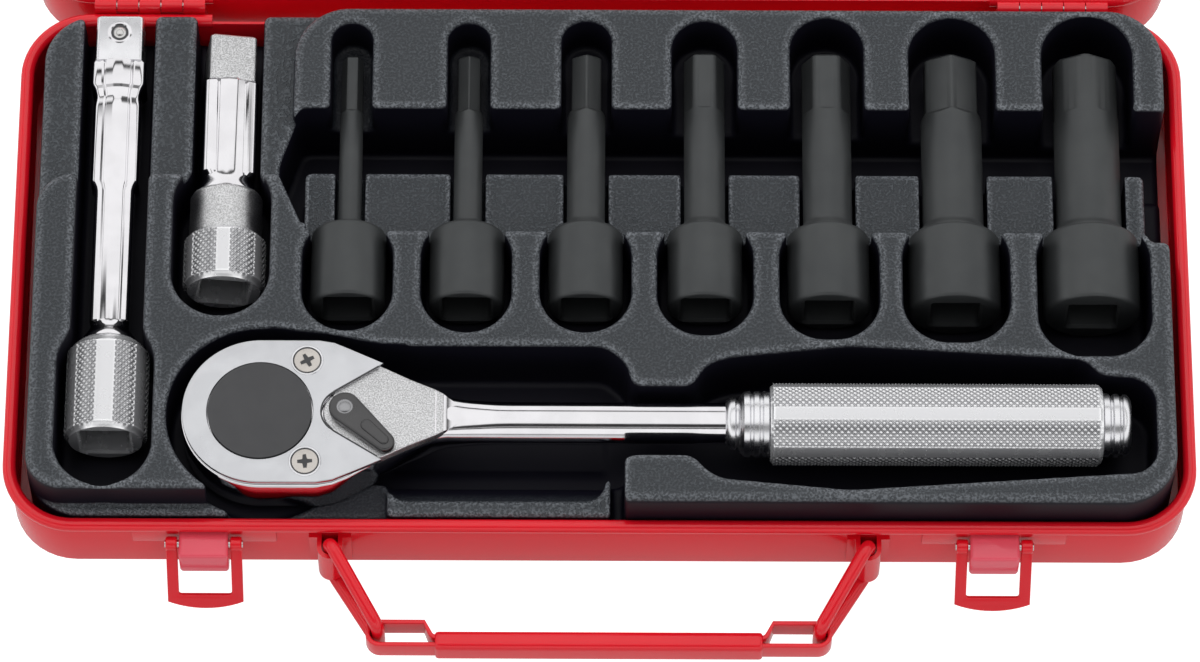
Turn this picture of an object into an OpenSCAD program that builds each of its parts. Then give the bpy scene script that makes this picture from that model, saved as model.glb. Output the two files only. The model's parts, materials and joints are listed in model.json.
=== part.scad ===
// Socket wrench set in a pressed steel case: a 250 mm ratchet, two extension
// bars and seven hex bit sockets lie in a moulded tray in the case's base.
// The lid is hinged at the back and lies open behind the base.
// Millimetres. +X right, +Y to the back, +Z up. The origin is the centre of
// the base's underside, on the surface the case stands on.

/* [Case] */
// Width of the case over its rolled rim
case_w = 315; // [312:0.5:318]
// Depth of the case over its rolled rim
case_d = 154; // [153:0.5:156]
// Height of the base, from the table to the top of its rim
base_h = 25; // [24.5:0.1:25.5]
// Thickness of the pressed steel
sheet_t = 1; // [0.8:0.1:1.2]
// Corner radius of the rim, seen from above
corner_r = 19; // [17:0.5:21]
// Radius of the rolled rim's round section
rim_r = 1.8; // [1.6:0.1:1.9]
// Radius of the bend between floor and walls
bend_r = 3; // [2.5:0.5:4]

/* [Tray] */
// Height of the tray's main surface above the table
tray_top = 36; // [35:0.5:36]
// Height of the lower columns beside the extension bars
column_top = 31; // [29:0.5:33]
// Height of the shelf under the bit shanks
shelf_top = 28; // [27:0.5:29]
// Height of the front step beside the ratchet's neck
step_top = 25; // [23:0.5:26]

/* [Tools] */
// Side of the square drive (1/2 inch)
drive_side = 12.7; // [12.6:0.05:12.7]
// Width across the flats of a drive opening
drive_hole = 13; // [12.9:0.05:13.1]
// Overall length of the ratchet
ratchet_l = 250; // [248:0.5:250.5]
// Length of the long extension bar
long_bar_l = 125; // [123:0.5:126]
// Length of the short extension bar
short_bar_l = 75; // [73:0.5:76]
// Length of each hex bit socket
bit_l = 75; // [73:0.5:76]

/* [Latches and handle] */
// Length of a latch bail, from its pin to the tip's edge
bail_l = 20.6; // [20:0.1:20.8]
// Angle at which a resting bail hangs out from the wall
bail_lean = 31; // [30:0.5:32]
// Length of a handle link, between its two upright legs
link_l = 24.2; // [23.8:0.1:24.4]
// Angle of the links at the handle's outer stop
link_splay = 32; // [31:0.5:33]
// Radius of the links' wire
wire_r = 1.8; // [1.7:0.05:1.8]

/* [Hidden] */
$fn = 48;
cut = 1;                              // overshoot of a cutting solid
tray_seam = 0.04;                     // hairline between the blocks of the tray
wall_out_x = case_w / 2 - 1.6;        // outer face of the side walls
wall_out_y = case_d / 2 - 1.6;        // outer face of the front and back walls
wall_r = corner_r - 1.6;
rim_x = case_w / 2 - rim_r;           // centre line of the rolled rim
rim_y = case_d / 2 - rim_r;
rim_z = base_h - 0.1 - rim_r;
rim_turn = corner_r - rim_r;          // radius of the rim's centre line in a corner
rim_gap_x = 106;                      // the back rim stops here on each side
back_edge = base_h - 2.2;             // top of the plain back edge
hinge_y = case_d / 2 + 1.9;
hinge_z = base_h;
hinge_x = 123;                        // centre of each hinge
hinge_l = 30;
knuckle_r = 1.9;
hinge_pin_r = 0.9;
leaf_t = 1;
leaf_low = 10;                        // lower edge of a leaf
// latches
latch_x = 104;
latch_y = -case_d / 2 - 1.6;          // pin axis
latch_z = 18.8;
latch_pin_r = 1;
latch_fit = 0.06;
hook_w = 13;
hook_out = 83.4;                      // front of the hook, from the case's centre
hook_low = 11;
hook_high = 21;
bail_w = 20;
bail_t = 1.2;
bail_arm = 3;
bail_bar = 4.4;
// handle
staple_x = 70.9;
staple_y = -case_d / 2 - 2.3;
staple_low = 4.3;
staple_high = 18.6;
staple_t = 1.2;
staple_fit = 0.35;
arm_low = 2;                          // height of the links' lower wire
arm_high = 22;                        // height of the upper wire at the staple
arm_grip = 13.3;                      // height of the upper wire at the grip
grip_leg_x = -staple_x + link_l * sin(link_splay);
grip_leg_y = staple_y - link_l * cos(link_splay);
band_low = 4.2;
band_high = 11;
band_t = 1.2;
band_in = grip_leg_y + wire_r + 0.2 + band_t / 2;    // centre line of the inner strand
band_out = grip_leg_y - wire_r - 1.4 - band_t / 2;   // centre line of the outer strand
band_end = -grip_leg_x + wire_r + 0.3 + band_t / 2;  // the loops' ends
cover_x = 43;
pinch_y = band_out + 2.2;             // inner strand under the cover
// tools in the tray
long_x = -130.5;
long_y = -52;                         // lower end of the long bar
bar_z = 24.6;
short_x = -100.5;
short_y = -7.8;
short_turn = 10;                      // the short bar lies turned about its length
knurl_r = 11.1;
bit_end = -14;                        // drive end of every bit
bit_top = 37.5;                       // top of every bit's body
gear_x = -89.25;
ratchet_y = -48.35;
ratchet_z = 29.5;                     // axis of the handle
ratchet_left = -110.25;
head_r = gear_x - ratchet_left;
head_low = 22;
plate_low = 35.4;
plate_top = 37;
lever_x = -66.85;
lever_rest = -43;                     // direction of the resting lever
gear_teeth = 36;
gear_r = 14;
gear_root = 12.9;
disc_r = 13.7;
pawl_swing = 4.1;                     // half of the pawl's travel
pawl_toe = 30;                        // where the toes meet the gear
screw_x = -77.1;
screw_dy = 14.6;

// across flats, shank, body, centre x, hex turned corner up
hex_sizes = [5, 6, 8, 10, 12, 14, 17];
shank_dias = [6.2, 7.6, 10.2, 11, 13.2, 16.4, 17.6];
body_dias = [20, 20, 20, 20, 22, 24.6, 26];
bit_xs = [-67.2, -35.6, -3.9, 27.9, 60.9, 94.6, 131.1];
corner_up = [0, 1, 1, 0, 0, 1, 1];
slot_ws = [11, 11.4, 13.4, 17.5, 19.7, 23.2, 24.4];
slot_tops = [68.1, 68.2, 69, 69.1, 70.2, 70.3, 71];
well_ws = [24, 24, 24.2, 25.4, 26.4, 28.4, 30];
well_ends = [-23.8, -24.2, -24.1, -24.8, -25.9, -26.6, -30.5];

// ---------------------------------------------------------------- shapes

// Rectangle with rounded corners, centred
module round_rect(w, d, r) {
    square([w - 2 * r, d], center = true);
    square([w, d - 2 * r], center = true);
    for (sx = [-1, 1], sy = [-1, 1])
        translate([sx * (w / 2 - r), sy * (d / 2 - r)])
            circle(r);
}

// Rounded rectangle between two corners
module round_box(x0, x1, y0, y1, r) {
    translate([(x0 + x1) / 2, (y0 + y1) / 2])
        round_rect(x1 - x0, y1 - y0, r);
}

// Solid with upright walls and a rounded lower edge
module pan(w, d, h, r, f) {
    translate([0, 0, f])
        linear_extrude(h - f)
            round_rect(w, d, r);
    linear_extrude(f + 0.5)
        round_rect(w - 2 * f, d - 2 * f, r - f);
    for (s = [-1, 1]) {
        translate([0, s * (d / 2 - f), f])
            rotate([0, 90, 0])
                cylinder(r = f, h = w - 2 * r, center = true);
        translate([s * (w / 2 - f), 0, f])
            rotate([90, 0, 0])
                cylinder(r = f, h = d - 2 * r, center = true);
    }
    for (sx = [-1, 1], sy = [-1, 1])
        translate([sx * (w / 2 - r), sy * (d / 2 - r), f])
            rotate_extrude()
                translate([r - f, 0])
                    intersection() {
                        circle(f);
                        translate([-r + f, -f])
                            square([r, 2 * f]);
                    }
}

// Pressed steel half of the case, rim upward, with its back rim left open
module half_case() {
    difference() {
        pan(2 * wall_out_x, 2 * wall_out_y, rim_z, wall_r, bend_r);
        translate([0, 0, sheet_t])
            pan(2 * (wall_out_x - sheet_t), 2 * (wall_out_y - sheet_t), base_h + cut,
                wall_r - sheet_t, bend_r - sheet_t);
        translate([-rim_gap_x, wall_out_y - 5, back_edge])
            cube([2 * rim_gap_x, 10, 10]);
    }
    rim();
}

// Rolled rim round the front, the sides and the back corners
module rim() {
    straight_x = case_w / 2 - corner_r;
    straight_y = case_d / 2 - corner_r;
    translate([0, -rim_y, rim_z])
        rotate([0, 90, 0])
            cylinder(r = rim_r, h = 2 * straight_x, center = true);
    for (s = [-1, 1]) {
        translate([s * rim_x, 0, rim_z])
            rotate([90, 0, 0])
                cylinder(r = rim_r, h = 2 * straight_y, center = true);
        translate([s > 0 ? rim_gap_x : -straight_x, rim_y, rim_z])
            rotate([0, 90, 0])
                cylinder(r = rim_r, h = straight_x - rim_gap_x);
    }
    for (k = [0, 1, 2, 3])
        translate([(k == 0 || k == 3 ? 1 : -1) * straight_x, (k < 2 ? 1 : -1) * straight_y, rim_z])
            rotate([0, 0, k * 90])
                rotate_extrude(angle = 90)
                    translate([rim_turn, 0])
                        circle(rim_r);
}

// Everything drawn for the closed lid's mirror twin lies behind the hinge line
module behind_hinge() {
    translate([0, 2 * hinge_y, 0])
        mirror([0, 1, 0])
            children();
}

// Hinge leaf profile in the Y-Z plane, joggled in under the rim
module leaf_profile() {
    neck = hinge_y - knuckle_r;
    polygon([
        [neck, hinge_z], [neck, rim_z - rim_r - 0.6], [wall_out_y, rim_z - rim_r - 2.4],
        [wall_out_y, leaf_low], [wall_out_y + leaf_t, leaf_low],
        [wall_out_y + leaf_t, rim_z - rim_r - 2.8], [neck + leaf_t, rim_z - rim_r - 1],
        [neck + leaf_t, hinge_z]
    ]);
    translate([hinge_y, hinge_z])
        circle(knuckle_r);
}

// One leaf with knuckles at alternate fifths; own = 0 for the base, 1 for the lid
module leaf(own) {
    fifth = hinge_l / 5;
    difference() {
        rotate([90, 0, 90])
            linear_extrude(hinge_l, center = true)
                leaf_profile();
        for (k = [0:4])
            if (k % 2 != own)
                translate([-hinge_l / 2 + k * fifth - 0.15, hinge_y - knuckle_r - 0.3, hinge_z - 2.6])
                    cube([fifth + 0.3, 6, 8]);
        translate([0, hinge_y, hinge_z])
            rotate([0, 90, 0])
                cylinder(r = hinge_pin_r + (own == 0 ? 0 : 0.05), h = hinge_l + cut, center = true);
    }
}

// ---------------------------------------------------------------- case

module case_body() {
    color([0.72, 0.07, 0.12])
        half_case();
}

module case_lid() {
    color([0.72, 0.07, 0.12])
        behind_hinge()
            half_case();
}

module hinge_base_leaves() {
    color([0.66, 0.06, 0.11])
        for (s = [-1, 1])
            translate([s * hinge_x, 0, 0])
                leaf(0);
}

module hinge_lid_leaves() {
    color([0.66, 0.06, 0.11])
        behind_hinge()
            for (s = [-1, 1])
                translate([s * hinge_x, 0, 0])
                    leaf(1);
}

module hinge_pins() {
    color([0.6, 0.6, 0.62])
        for (s = [-1, 1])
            translate([s * hinge_x, hinge_y, hinge_z])
                rotate([0, 90, 0])
                    cylinder(r = hinge_pin_r, h = hinge_l, center = true);
}

// Folded hook with its welded back plate; the pin crosses it
module latch_hook(x) {
    inner = 0.9;
    color([0.72, 0.07, 0.12])
        difference() {
            union() {
                translate([x - 19, -wall_out_y - 0.7, 14.5])
                    cube([38, 0.7, 6.4]);
                translate([x - hook_w / 2, -hook_out, hook_low])
                    cube([hook_w, hook_out - wall_out_y, hook_high - hook_low]);
            }
            translate([x - hook_w / 2 + inner, -hook_out + inner, hook_low - cut])
                cube([hook_w - 2 * inner, hook_out - wall_out_y - 0.7 - inner, hook_high - hook_low - inner + cut]);
            translate([x, latch_y, latch_z])
                rotate([0, 90, 0])
                    cylinder(r = latch_pin_r, h = hook_w + cut, center = true);
        }
}

module latch_pins() {
    color([0.6, 0.6, 0.62])
        for (s = [-1, 1])
            translate([s * latch_x, latch_y, latch_z])
                rotate([0, 90, 0])
                    cylinder(r = latch_pin_r, h = bail_w + 0.6, center = true);
}

// Flat bail with a window; drawn hanging straight down, then leaned out
module latch_bail(x) {
    eye = 1.9;
    arc_r = 25;
    color([0.72, 0.07, 0.12])
        translate([x, latch_y, latch_z])
            rotate([-bail_lean, 0, 0])
                difference() {
                    union() {
                        rotate([90, 0, 0])
                            linear_extrude(bail_t, center = true)
                                difference() {
                                    intersection() {
                                        translate([-bail_w / 2, -bail_l])
                                            square([bail_w, bail_l]);
                                        translate([0, arc_r - bail_l])
                                            circle(arc_r, $fn = 128);
                                    }
                                    translate([-bail_w / 2 + bail_arm, -bail_l + bail_bar])
                                        square([bail_w - 2 * bail_arm, bail_l]);
                                }
                        for (s = [-1, 1])
                            translate([s * (bail_w - bail_arm) / 2, 0, 0])
                                rotate([0, 90, 0])
                                    cylinder(r = eye, h = bail_arm, center = true);
                    }
                    rotate([0, 90, 0])
                        cylinder(r = latch_pin_r + latch_fit, h = bail_w + cut, center = true);
                }
}

// Catches on the lid's front wall, which lies farthest back while it is open
module lid_catches() {
    color([0.72, 0.07, 0.12])
        behind_hinge()
            for (s = [-1, 1])
                difference() {
                    translate([s * latch_x - 6.3, -81.1, 14.8])
                        cube([12.6, 81.1 - wall_out_y, 4.9]);
                    translate([s * latch_x - 5.4, -80.2, 13.8])
                        cube([10.8, 80.2 - wall_out_y, 5]);
                }
}

// Upright tunnel of folded strip with a foot on each side
module staple(x) {
    inner = wire_r + staple_fit;
    outer = inner + staple_t;
    translate([x, 0, staple_low])
        linear_extrude(staple_high - staple_low)
            difference() {
                union() {
                    translate([0, staple_y])
                        circle(outer);
                    translate([-outer, staple_y])
                        square([2 * outer, -wall_out_y - staple_y]);
                    translate([-outer - 2.2, -wall_out_y - staple_t])
                        square([2 * outer + 4.4, staple_t]);
                }
                translate([0, staple_y])
                    circle(inner);
                translate([-inner, staple_y])
                    square([2 * inner, -wall_out_y - staple_y]);
            }
}

module handle_staples() {
    color([0.72, 0.07, 0.12])
        for (s = [-1, 1])
            staple(s * staple_x);
}

// Straight wire between two points in the link's own plane
module wire(a, b) {
    d = b - a;
    translate([a[0], 0, a[1]])
        rotate([0, atan2(d[0], d[1]), 0])
            cylinder(r = wire_r, h = norm(d));
    translate([b[0], 0, b[1]])
        sphere(wire_r + 0.05);
}

// Closed wire loop, tall at the staple and short at the grip
module handle_link(side) {
    color([0.75, 0.08, 0.13])
        translate([side * staple_x, staple_y, 0])
            rotate([0, 0, side < 0 ? link_splay - 90 : -90 - link_splay]) {
                wire([0, arm_low], [0, arm_high]);
                wire([0, arm_high], [link_l, arm_grip]);
                wire([link_l, arm_grip], [link_l, arm_low]);
                wire([link_l, arm_low], [0, arm_low]);
            }
}

// Strip of even thickness along a line of points
module strip(points, t) {
    for (k = [0:len(points) - 2]) {
        d = points[k + 1] - points[k];
        translate(points[k])
            rotate(atan2(d[1], d[0]))
                translate([0, -t / 2])
                    square([norm(d), t]);
        translate(points[k])
            circle(t / 2);
    }
}

// Strip folded into a flat loop: wide at the ends, pinched under the cover
module band_outline(t) {
    loop_r = (band_in - band_out) / 2;
    turn_x = band_end - loop_r;
    for (s = [-1, 1])
        mirror([s < 0 ? 1 : 0, 0]) {
            intersection() {
                translate([turn_x, (band_in + band_out) / 2])
                    difference() {
                        circle(loop_r + t / 2);
                        circle(loop_r - t / 2);
                    }
                translate([turn_x - 0.1, band_out - 5])
                    square([20, 20]);
            }
            strip([[turn_x, band_in], [cover_x + 2.9, band_in], [cover_x + 1.4, pinch_y], [-1, pinch_y]], t);
            strip([[turn_x, band_out], [-1, band_out]], t);
        }
}

module handle_band() {
    color([0.72, 0.07, 0.12])
        translate([0, 0, band_low])
            linear_extrude(band_high - band_low)
                band_outline(band_t);
}

// Channel folded over both strands of the band
module handle_cover() {
    gap = 0.05;
    t = 0.9;
    low = band_low - gap - t;
    high = band_high + gap + t;
    front = band_out - band_t / 2 - gap - t;
    back = pinch_y + band_t / 2 + gap + t;
    color([0.75, 0.08, 0.13])
        rotate([90, 0, 90])
            difference() {
                linear_extrude(2 * cover_x, center = true)
                    translate([(front + back) / 2, (low + high) / 2])
                        round_rect(back - front, high - low, 1.2);
                linear_extrude(2 * cover_x + cut, center = true)
                    translate([(front + back) / 2, (low + high) / 2])
                        square([back - front - 2 * t, high - low - 2 * t], center = true);
            }
}

// ---------------------------------------------------------------- tray

// Prism with a round end toward +Y or -Y
module stadium_cut(x, w, y0, y1, z) {
    translate([0, 0, z])
        linear_extrude(60 - z) {
            translate([x - w / 2, y0])
                square([w, y1 - y0]);
        }
}

module round_end(x, r, y, z) {
    translate([x, y, z])
        cylinder(r = r, h = 60 - z);
}

// Lying trough with a round floor
module trough(x, r, y0, y1, z) {
    translate([x, y1, z])
        rotate([90, 0, 0])
            cylinder(r = r, h = y1 - y0);
}

module bit_cuts(i) {
    r = body_dias[i] / 2;
    z = bit_top - r;
    slot_r = slot_ws[i] / 2;
    well_r = well_ws[i] / 2;
    slot_x = bit_xs[i];
    tip_floor = z - hex_sizes[i] / 2 - 3;
    stadium_cut(slot_x, slot_ws[i], 40, slot_tops[i] - slot_r, tip_floor);
    round_end(slot_x, slot_r, slot_tops[i] - slot_r, tip_floor);
    stadium_cut(bit_xs[i], shank_dias[i] + 1.6, 4, 30, z);
    trough(bit_xs[i], shank_dias[i] / 2 + 0.8, 4, 30, z);
    stadium_cut(bit_xs[i], well_ws[i], well_ends[i] + well_r, 9.2, z);
    round_end(bit_xs[i], well_r, well_ends[i] + well_r, z - r - 0.6);
    trough(bit_xs[i], well_r, well_ends[i] + well_r, 9.2, z - r - 0.6 + well_r);
}

// Plan of the space round the ratchet's neck, rings and grip
module handle_well() {
    polygon([
        [-72, -28.6], [1.3, -28.6], [7, -33.5], [8.5, -40], [24.5, -40], [28, -33.8], [34, -31.6],
        [66, -28.2], [128, -31.7], [131.8, -36.4], [142.3, -37.2], [146.3, -41.5], [146.3, -60],
        [142.5, -64.3], [65.5, -69.6], [32, -66.4], [28, -64], [24.5, -59.7], [8.5, -59.7],
        [8.5, -62], [-72, -62]
    ]);
}

// The moulding before it is divided
module tray_block() {
    front = -case_d / 2 + 3.8;
    back = case_d / 2 - 4;
    foot_in = 1.8;                    // clears the bend round the case's floor
    foot_h = 1.2;
    difference() {
        union() {
            translate([0, 0, sheet_t])
                linear_extrude(foot_h + 1)
                    round_box(-151 + foot_in, 151.6 - foot_in, front + foot_in, back - foot_in, 13);
            translate([0, 0, sheet_t + foot_h])
                linear_extrude(step_top - sheet_t - foot_h)
                    round_box(-151, 151.6, front, back, 15);
            translate([0, 0, sheet_t + 4])
                linear_extrude(column_top - sheet_t - 4)
                    round_box(-150.6, -60, 0, back, 14);
            translate([0, 0, sheet_t + 4])
                linear_extrude(tray_top - sheet_t - 4) {
                    round_box(-150.6, -60, -70.8, 22.6, 9);
                    difference() {
                        round_box(-120, 151.6, front, back, 15);
                        translate([-120 - cut, -100])
                            square([38.2 + cut, 200]);
                    }
                }
        }
        // long bar: shank groove, then the wider well of its knurled end
        stadium_cut(long_x, 19, -30, 80, bar_z - 7.6);
        stadium_cut(long_x, 25.6, -56, -22, bar_z - knurl_r - 0.5);
        round_end(long_x, 12.8, -56, bar_z - knurl_r - 0.5);
        // short bar
        stadium_cut(short_x, 18, 10, 80, bar_z - 8);
        stadium_cut(short_x - 0.5, 26, -6.5, 26, bar_z - knurl_r - 0.7);
        round_end(short_x - 0.5, 13, -6.5, bar_z - knurl_r - 0.7);
        // finger trench and shelf along the row of bits
        translate([-82, 26.6, 8])
            cube([233, 15.5, 60]);
        translate([-80.5, 5.6, shelf_top])
            cube([228.5, 22, 60]);
        translate([148, 4, 12])
            cube([20, 30, 60]);
        for (i = [0:6])
            bit_cuts(i);
        // ratchet: head recess, drive well, handle well, front opening
        round_end(gear_x, 24.6, ratchet_y, head_low - 1);
        round_end(gear_x, 13.5, ratchet_y, 3.2);
        translate([0, 0, head_low - 1])
            linear_extrude(60)
                polygon([[gear_x, ratchet_y + 24.6], [-72, ratchet_y + 23.4], [-56, -28.6],
                         [-56, -62], [gear_x, -62]]);
        translate([0, 0, 15])
            linear_extrude(60)
                difference() {
                    handle_well();
                    translate([-80, -80])
                        square([24 - cut, 80]);
                }
        translate([-96, -90, step_top - 3])
            cube([40, 42, 60]);
        translate([-58, -90, step_top])
            cube([62, 31, 60]);
        translate([4 - cut, -90, step_top - 6])
            cube([3.2, 31, 60]);
    }
}

// A plane of the given thickness across the tray, between two Y values at one X
module seam_x(x, y0, y1) {
    translate([x, y0, -cut])
        cube([tray_seam, y1 - y0, 60]);
}

// A plane across the tray's whole width at one Y
module seam_y(y) {
    translate([-case_w / 2, y, -cut])
        cube([case_w, tray_seam, 60]);
}

// One moulding, divided by hairline planes along the axes of its pockets so that each block is a plain shape
module insert_tray() {
    row_y = -27;                      // between the bits and the ratchet
    back_xs = concat([long_x, short_x], bit_xs);
    front_xs = [long_x, gear_x, -56, 6, 66];
    color([0.13, 0.14, 0.15])
        difference() {
            tray_block();
            for (x = back_xs)
                seam_x(x, row_y, case_d / 2);
            for (x = front_xs)
                seam_x(x, -case_d / 2, row_y + tray_seam);
            seam_y(row_y);
            seam_y(ratchet_y);
        }
}

// ---------------------------------------------------------------- ratchet

// The head's outline in X-Y, from the round end to the neck
module head_outline(inset) {
    half = head_r - inset;
    upper = [
        [gear_x, half], [-74, half], [-70, half - 0.7], [-65.9, half - 2.5], [-57.9, half - 7.3],
        [-50, half - 11.2], [-43, half - 14.2], [-41, half - 15.3]
    ];
    lower = [for (k = [len(upper) - 1:-1:0]) [upper[k][0], -upper[k][1]]];
    translate([gear_x, ratchet_y])
        circle(half, $fn = 96);
    translate([0, ratchet_y])
        polygon(concat(upper, lower));
}

// Wedge behind the cover plate, from the lever's round boss to the neck
module bay_wedge(grow) {
    translate([0, ratchet_y])
        polygon([
            [lever_x - 2.6, 5.4 + grow], [-54, 15 + grow * 1.2], [-30, 26], [-30, -26],
            [-54, -15 - grow * 1.2], [lever_x - 2.6, -5.4 - grow]
        ]);
}

// The lever's bay: the wedge with its round end
module lever_bay(grow) {
    translate([lever_x, ratchet_y])
        circle(6 + grow);
    bay_wedge(grow);
}

// Space for the pawl and the drive gear
module works_cavity() {
    translate([gear_x, ratchet_y, 24])
        cylinder(r = gear_r + 0.6, h = 20);
    translate([0, 0, 25])
        linear_extrude(8)
            polygon([
                [gear_x + 6, ratchet_y + 11], [-72, ratchet_y + 11], [-61.5, ratchet_y + 5.5],
                [-61.5, ratchet_y - 5.5], [-72, ratchet_y - 11], [gear_x + 6, ratchet_y - 11]
            ]);
}

// Cylinder along X on the ratchet's axis
module along_x(x0, x1, r) {
    translate([x0, ratchet_y, ratchet_z])
        rotate([0, 90, 0])
            cylinder(r = r, h = x1 - x0);
}

module ratchet_body() {
    end_x = ratchet_left + ratchet_l;
    color([0.82, 0.82, 0.84])
        difference() {
            union() {
                translate([0, 0, head_low])
                    linear_extrude(plate_low - head_low)
                        head_outline(0);
                translate([0, 0, plate_low - 1])
                    linear_extrude(plate_top - plate_low + 0.6)
                        intersection() {
                            head_outline(0);
                            lever_bay(0);
                        }
                along_x(-42, 36, 5.6);
                along_x(34, 36, 6.6);
                along_x(36, 38, 7.4);
                along_x(38, 45, 7.9);
                along_x(44.6, 132.2, 10.9);
                along_x(132, 138.4, 8.35);
                along_x(138, end_x, 7.4);
            }
            works_cavity();
            // gear collar under the head
            translate([gear_x, ratchet_y, head_low - cut])
                cylinder(r = 11.1, h = 10);
            // lever shaft
            translate([lever_x, ratchet_y, 23.5])
                cylinder(r = 2.56, h = 20);
            // plunger bore
            translate([-63, ratchet_y, 29])
                rotate([0, 90, 0])
                    cylinder(r = 1.76, h = 13);
            for (s = [-1, 1])
                translate([screw_x, ratchet_y + s * screw_dy, 27.5])
                    cylinder(r = 1.9, h = 20);
        }
}

module ratchet_cover_plate() {
    thick = plate_top - plate_low;
    bay_x = -60;                      // the plate ends at the lever's bay
    bay_grow = 0.35;
    color([0.84, 0.84, 0.86])
        difference() {
            translate([0, 0, plate_low])
                linear_extrude(thick)
                    head_outline(0.5);
            translate([bay_x, ratchet_y - 30, plate_low - cut])
                cube([30, 60, 10]);
            translate([lever_x, ratchet_y, plate_low - cut])
                cylinder(r = 6 + bay_grow, h = 10);
            translate([0, 0, plate_low - cut])
                linear_extrude(10)
                    bay_wedge(bay_grow);
            translate([gear_x, ratchet_y, plate_low - cut])
                cylinder(r = disc_r + 0.1, h = 10);
            for (s = [-1, 1])
                translate([screw_x, ratchet_y + s * screw_dy, 0]) {
                    translate([0, 0, plate_low - cut])
                        cylinder(r = 2.2, h = 10);
                    translate([0, 0, plate_top - 1.1])
                        cylinder(r = 3.95, h = 10);
                }
        }
}

module ratchet_cover_screws() {
    color([0.78, 0.78, 0.8])
        for (s = [-1, 1])
            translate([screw_x, ratchet_y + s * screw_dy, 0])
                difference() {
                    union() {
                        translate([0, 0, plate_top - 1.1])
                            cylinder(r = 3.85, h = 1.3);
                        translate([0, 0, 28])
                            cylinder(r = 1.9, h = plate_top - 28.5);
                    }
                    for (turn = [0, 90])
                        translate([0, 0, plate_top - 0.3])
                            rotate([0, 0, turn + 20])
                                cube([4.4, 1, 1.6], center = true);
                }
}

// Toothed ring, black top disc, collar and square anvil in one turning piece
module ratchet_drive_gear() {
    pitch = 360 / gear_teeth;
    color([0.2, 0.2, 0.21])
        translate([gear_x, ratchet_y, 0])
            difference() {
                union() {
                    translate([0, 0, 25.2])
                        linear_extrude(9)
                            polygon([for (k = [0:gear_teeth - 1], p = [[0.1, 0], [0.3, 1], [0.7, 1], [0.9, 0]])
                                let (a = (k + p[0]) * pitch, r = p[1] == 0 ? gear_root : gear_r)
                                [r * cos(a), r * sin(a)]]);
                    translate([0, 0, 34])
                        cylinder(r = disc_r, h = plate_top + 0.2 - 34);
                    translate([0, 0, head_low - 1])
                        cylinder(r = 11, h = 5);
                    translate([-drive_side / 2, -drive_side / 2, 5])
                        cube([drive_side, drive_side, 18]);
                }
                translate([0, 0, 11])
                    rotate([90, 0, 0])
                        cylinder(r = 2.3, h = 10);
            }
}

module ratchet_drive_ball() {
    color([0.75, 0.75, 0.77])
        translate([gear_x, ratchet_y - drive_side / 2 + 1.3, 11])
            sphere(2.2);
}

module spring_tube(r, l) {
    difference() {
        cylinder(r = r, h = l);
        translate([0, 0, -cut])
            cylinder(r = r - 0.5, h = l + 2 * cut);
    }
}

module ratchet_ball_spring() {
    color([0.6, 0.6, 0.62])
        translate([gear_x, ratchet_y - 1.85, 11])
            rotate([-90, 0, 0])
                spring_tube(1.5, 1.8);
}

// Double pawl: a hub with two arms whose toes reach the gear's teeth
module ratchet_pawl() {
    thick = 6.4;
    reach = gear_r + 0.5;             // the nearer toe stops just clear of the teeth
    tip = [gear_x - lever_x + reach * cos(pawl_toe), reach * sin(pawl_toe)];
    out = [cos(pawl_toe), sin(pawl_toe)];
    side = [-sin(pawl_toe), cos(pawl_toe)];
    color([0.35, 0.35, 0.37])
        translate([lever_x, ratchet_y, 25.6])
            rotate([0, 0, -pawl_swing])
                difference() {
                    union() {
                        cylinder(r = 4.3, h = thick);
                        for (turn = [0, 1])
                            mirror([0, turn, 0])
                                linear_extrude(thick)
                                    polygon([
                                        [-1.5, 1], tip + 1.6 * out - 0.5 * side, tip + 1.2 * out - 0.4 * side,
                                        tip - 0.1 * side, tip + 0.1 * side, tip + 1.2 * out + 0.4 * side,
                                        tip + 3 * out + 1.2 * side, [-0.5, 3.9]
                                    ]);
                    }
                    translate([0, 0, -cut])
                        cylinder(r = 2.56, h = thick + 2 * cut);
                }
}

module ratchet_pawl_plunger() {
    color([0.6, 0.6, 0.62])
        translate([-62.2, ratchet_y, 29])
            rotate([0, 90, 0])
                cylinder(r = 1.7, h = 4);
}

module ratchet_pawl_spring() {
    color([0.6, 0.6, 0.62])
        translate([-57.2, ratchet_y, 29])
            rotate([0, 90, 0])
                spring_tube(1.6, 7);
}

// Lever with its shaft, drawn along its resting direction
module ratchet_reverse_lever() {
    arm = 17.2;
    color([0.2, 0.2, 0.21])
        translate([lever_x, ratchet_y, 0])
            rotate([0, 0, lever_rest]) {
                difference() {
                    translate([0, 0, plate_top + 0.4])
                        linear_extrude(2.6) {
                            circle(4.2);
                            translate([arm - 2.6, 0])
                                circle(2.6);
                            polygon([[0, 4.2], [arm - 2.6, 2.6], [arm - 2.6, -2.6], [0, -4.2]]);
                        }
                    translate([0, 0, plate_top - cut])
                        cylinder(r = 1.4, h = 10);
                }
                difference() {
                    translate([0, 0, 24])
                        cylinder(r = 2.5, h = plate_top + 1 - 24);
                    translate([0, 0, plate_top - 3])
                        cylinder(r = 1.4, h = 10);
                }
            }
}

module ratchet_lever_rivet() {
    color([0.3, 0.3, 0.31])
        translate([lever_x, ratchet_y, plate_top - 3])
            rotate_extrude()
                intersection() {
                    union() {
                        square([1.4, 6]);
                        translate([0, 3.45])
                            circle(3.2);
                    }
                    union() {
                        square([1.4, 6.1]);
                        translate([0, 6])
                            square([2.4, 4]);
                    }
                }
}

// ---------------------------------------------------------------- bars

// Cylinder along +Y between two distances from a tool's drive end
module along_y(y0, y1, r) {
    translate([0, y0, 0])
        rotate([-90, 0, 0])
            cylinder(r = r, h = y1 - y0);
}

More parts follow.
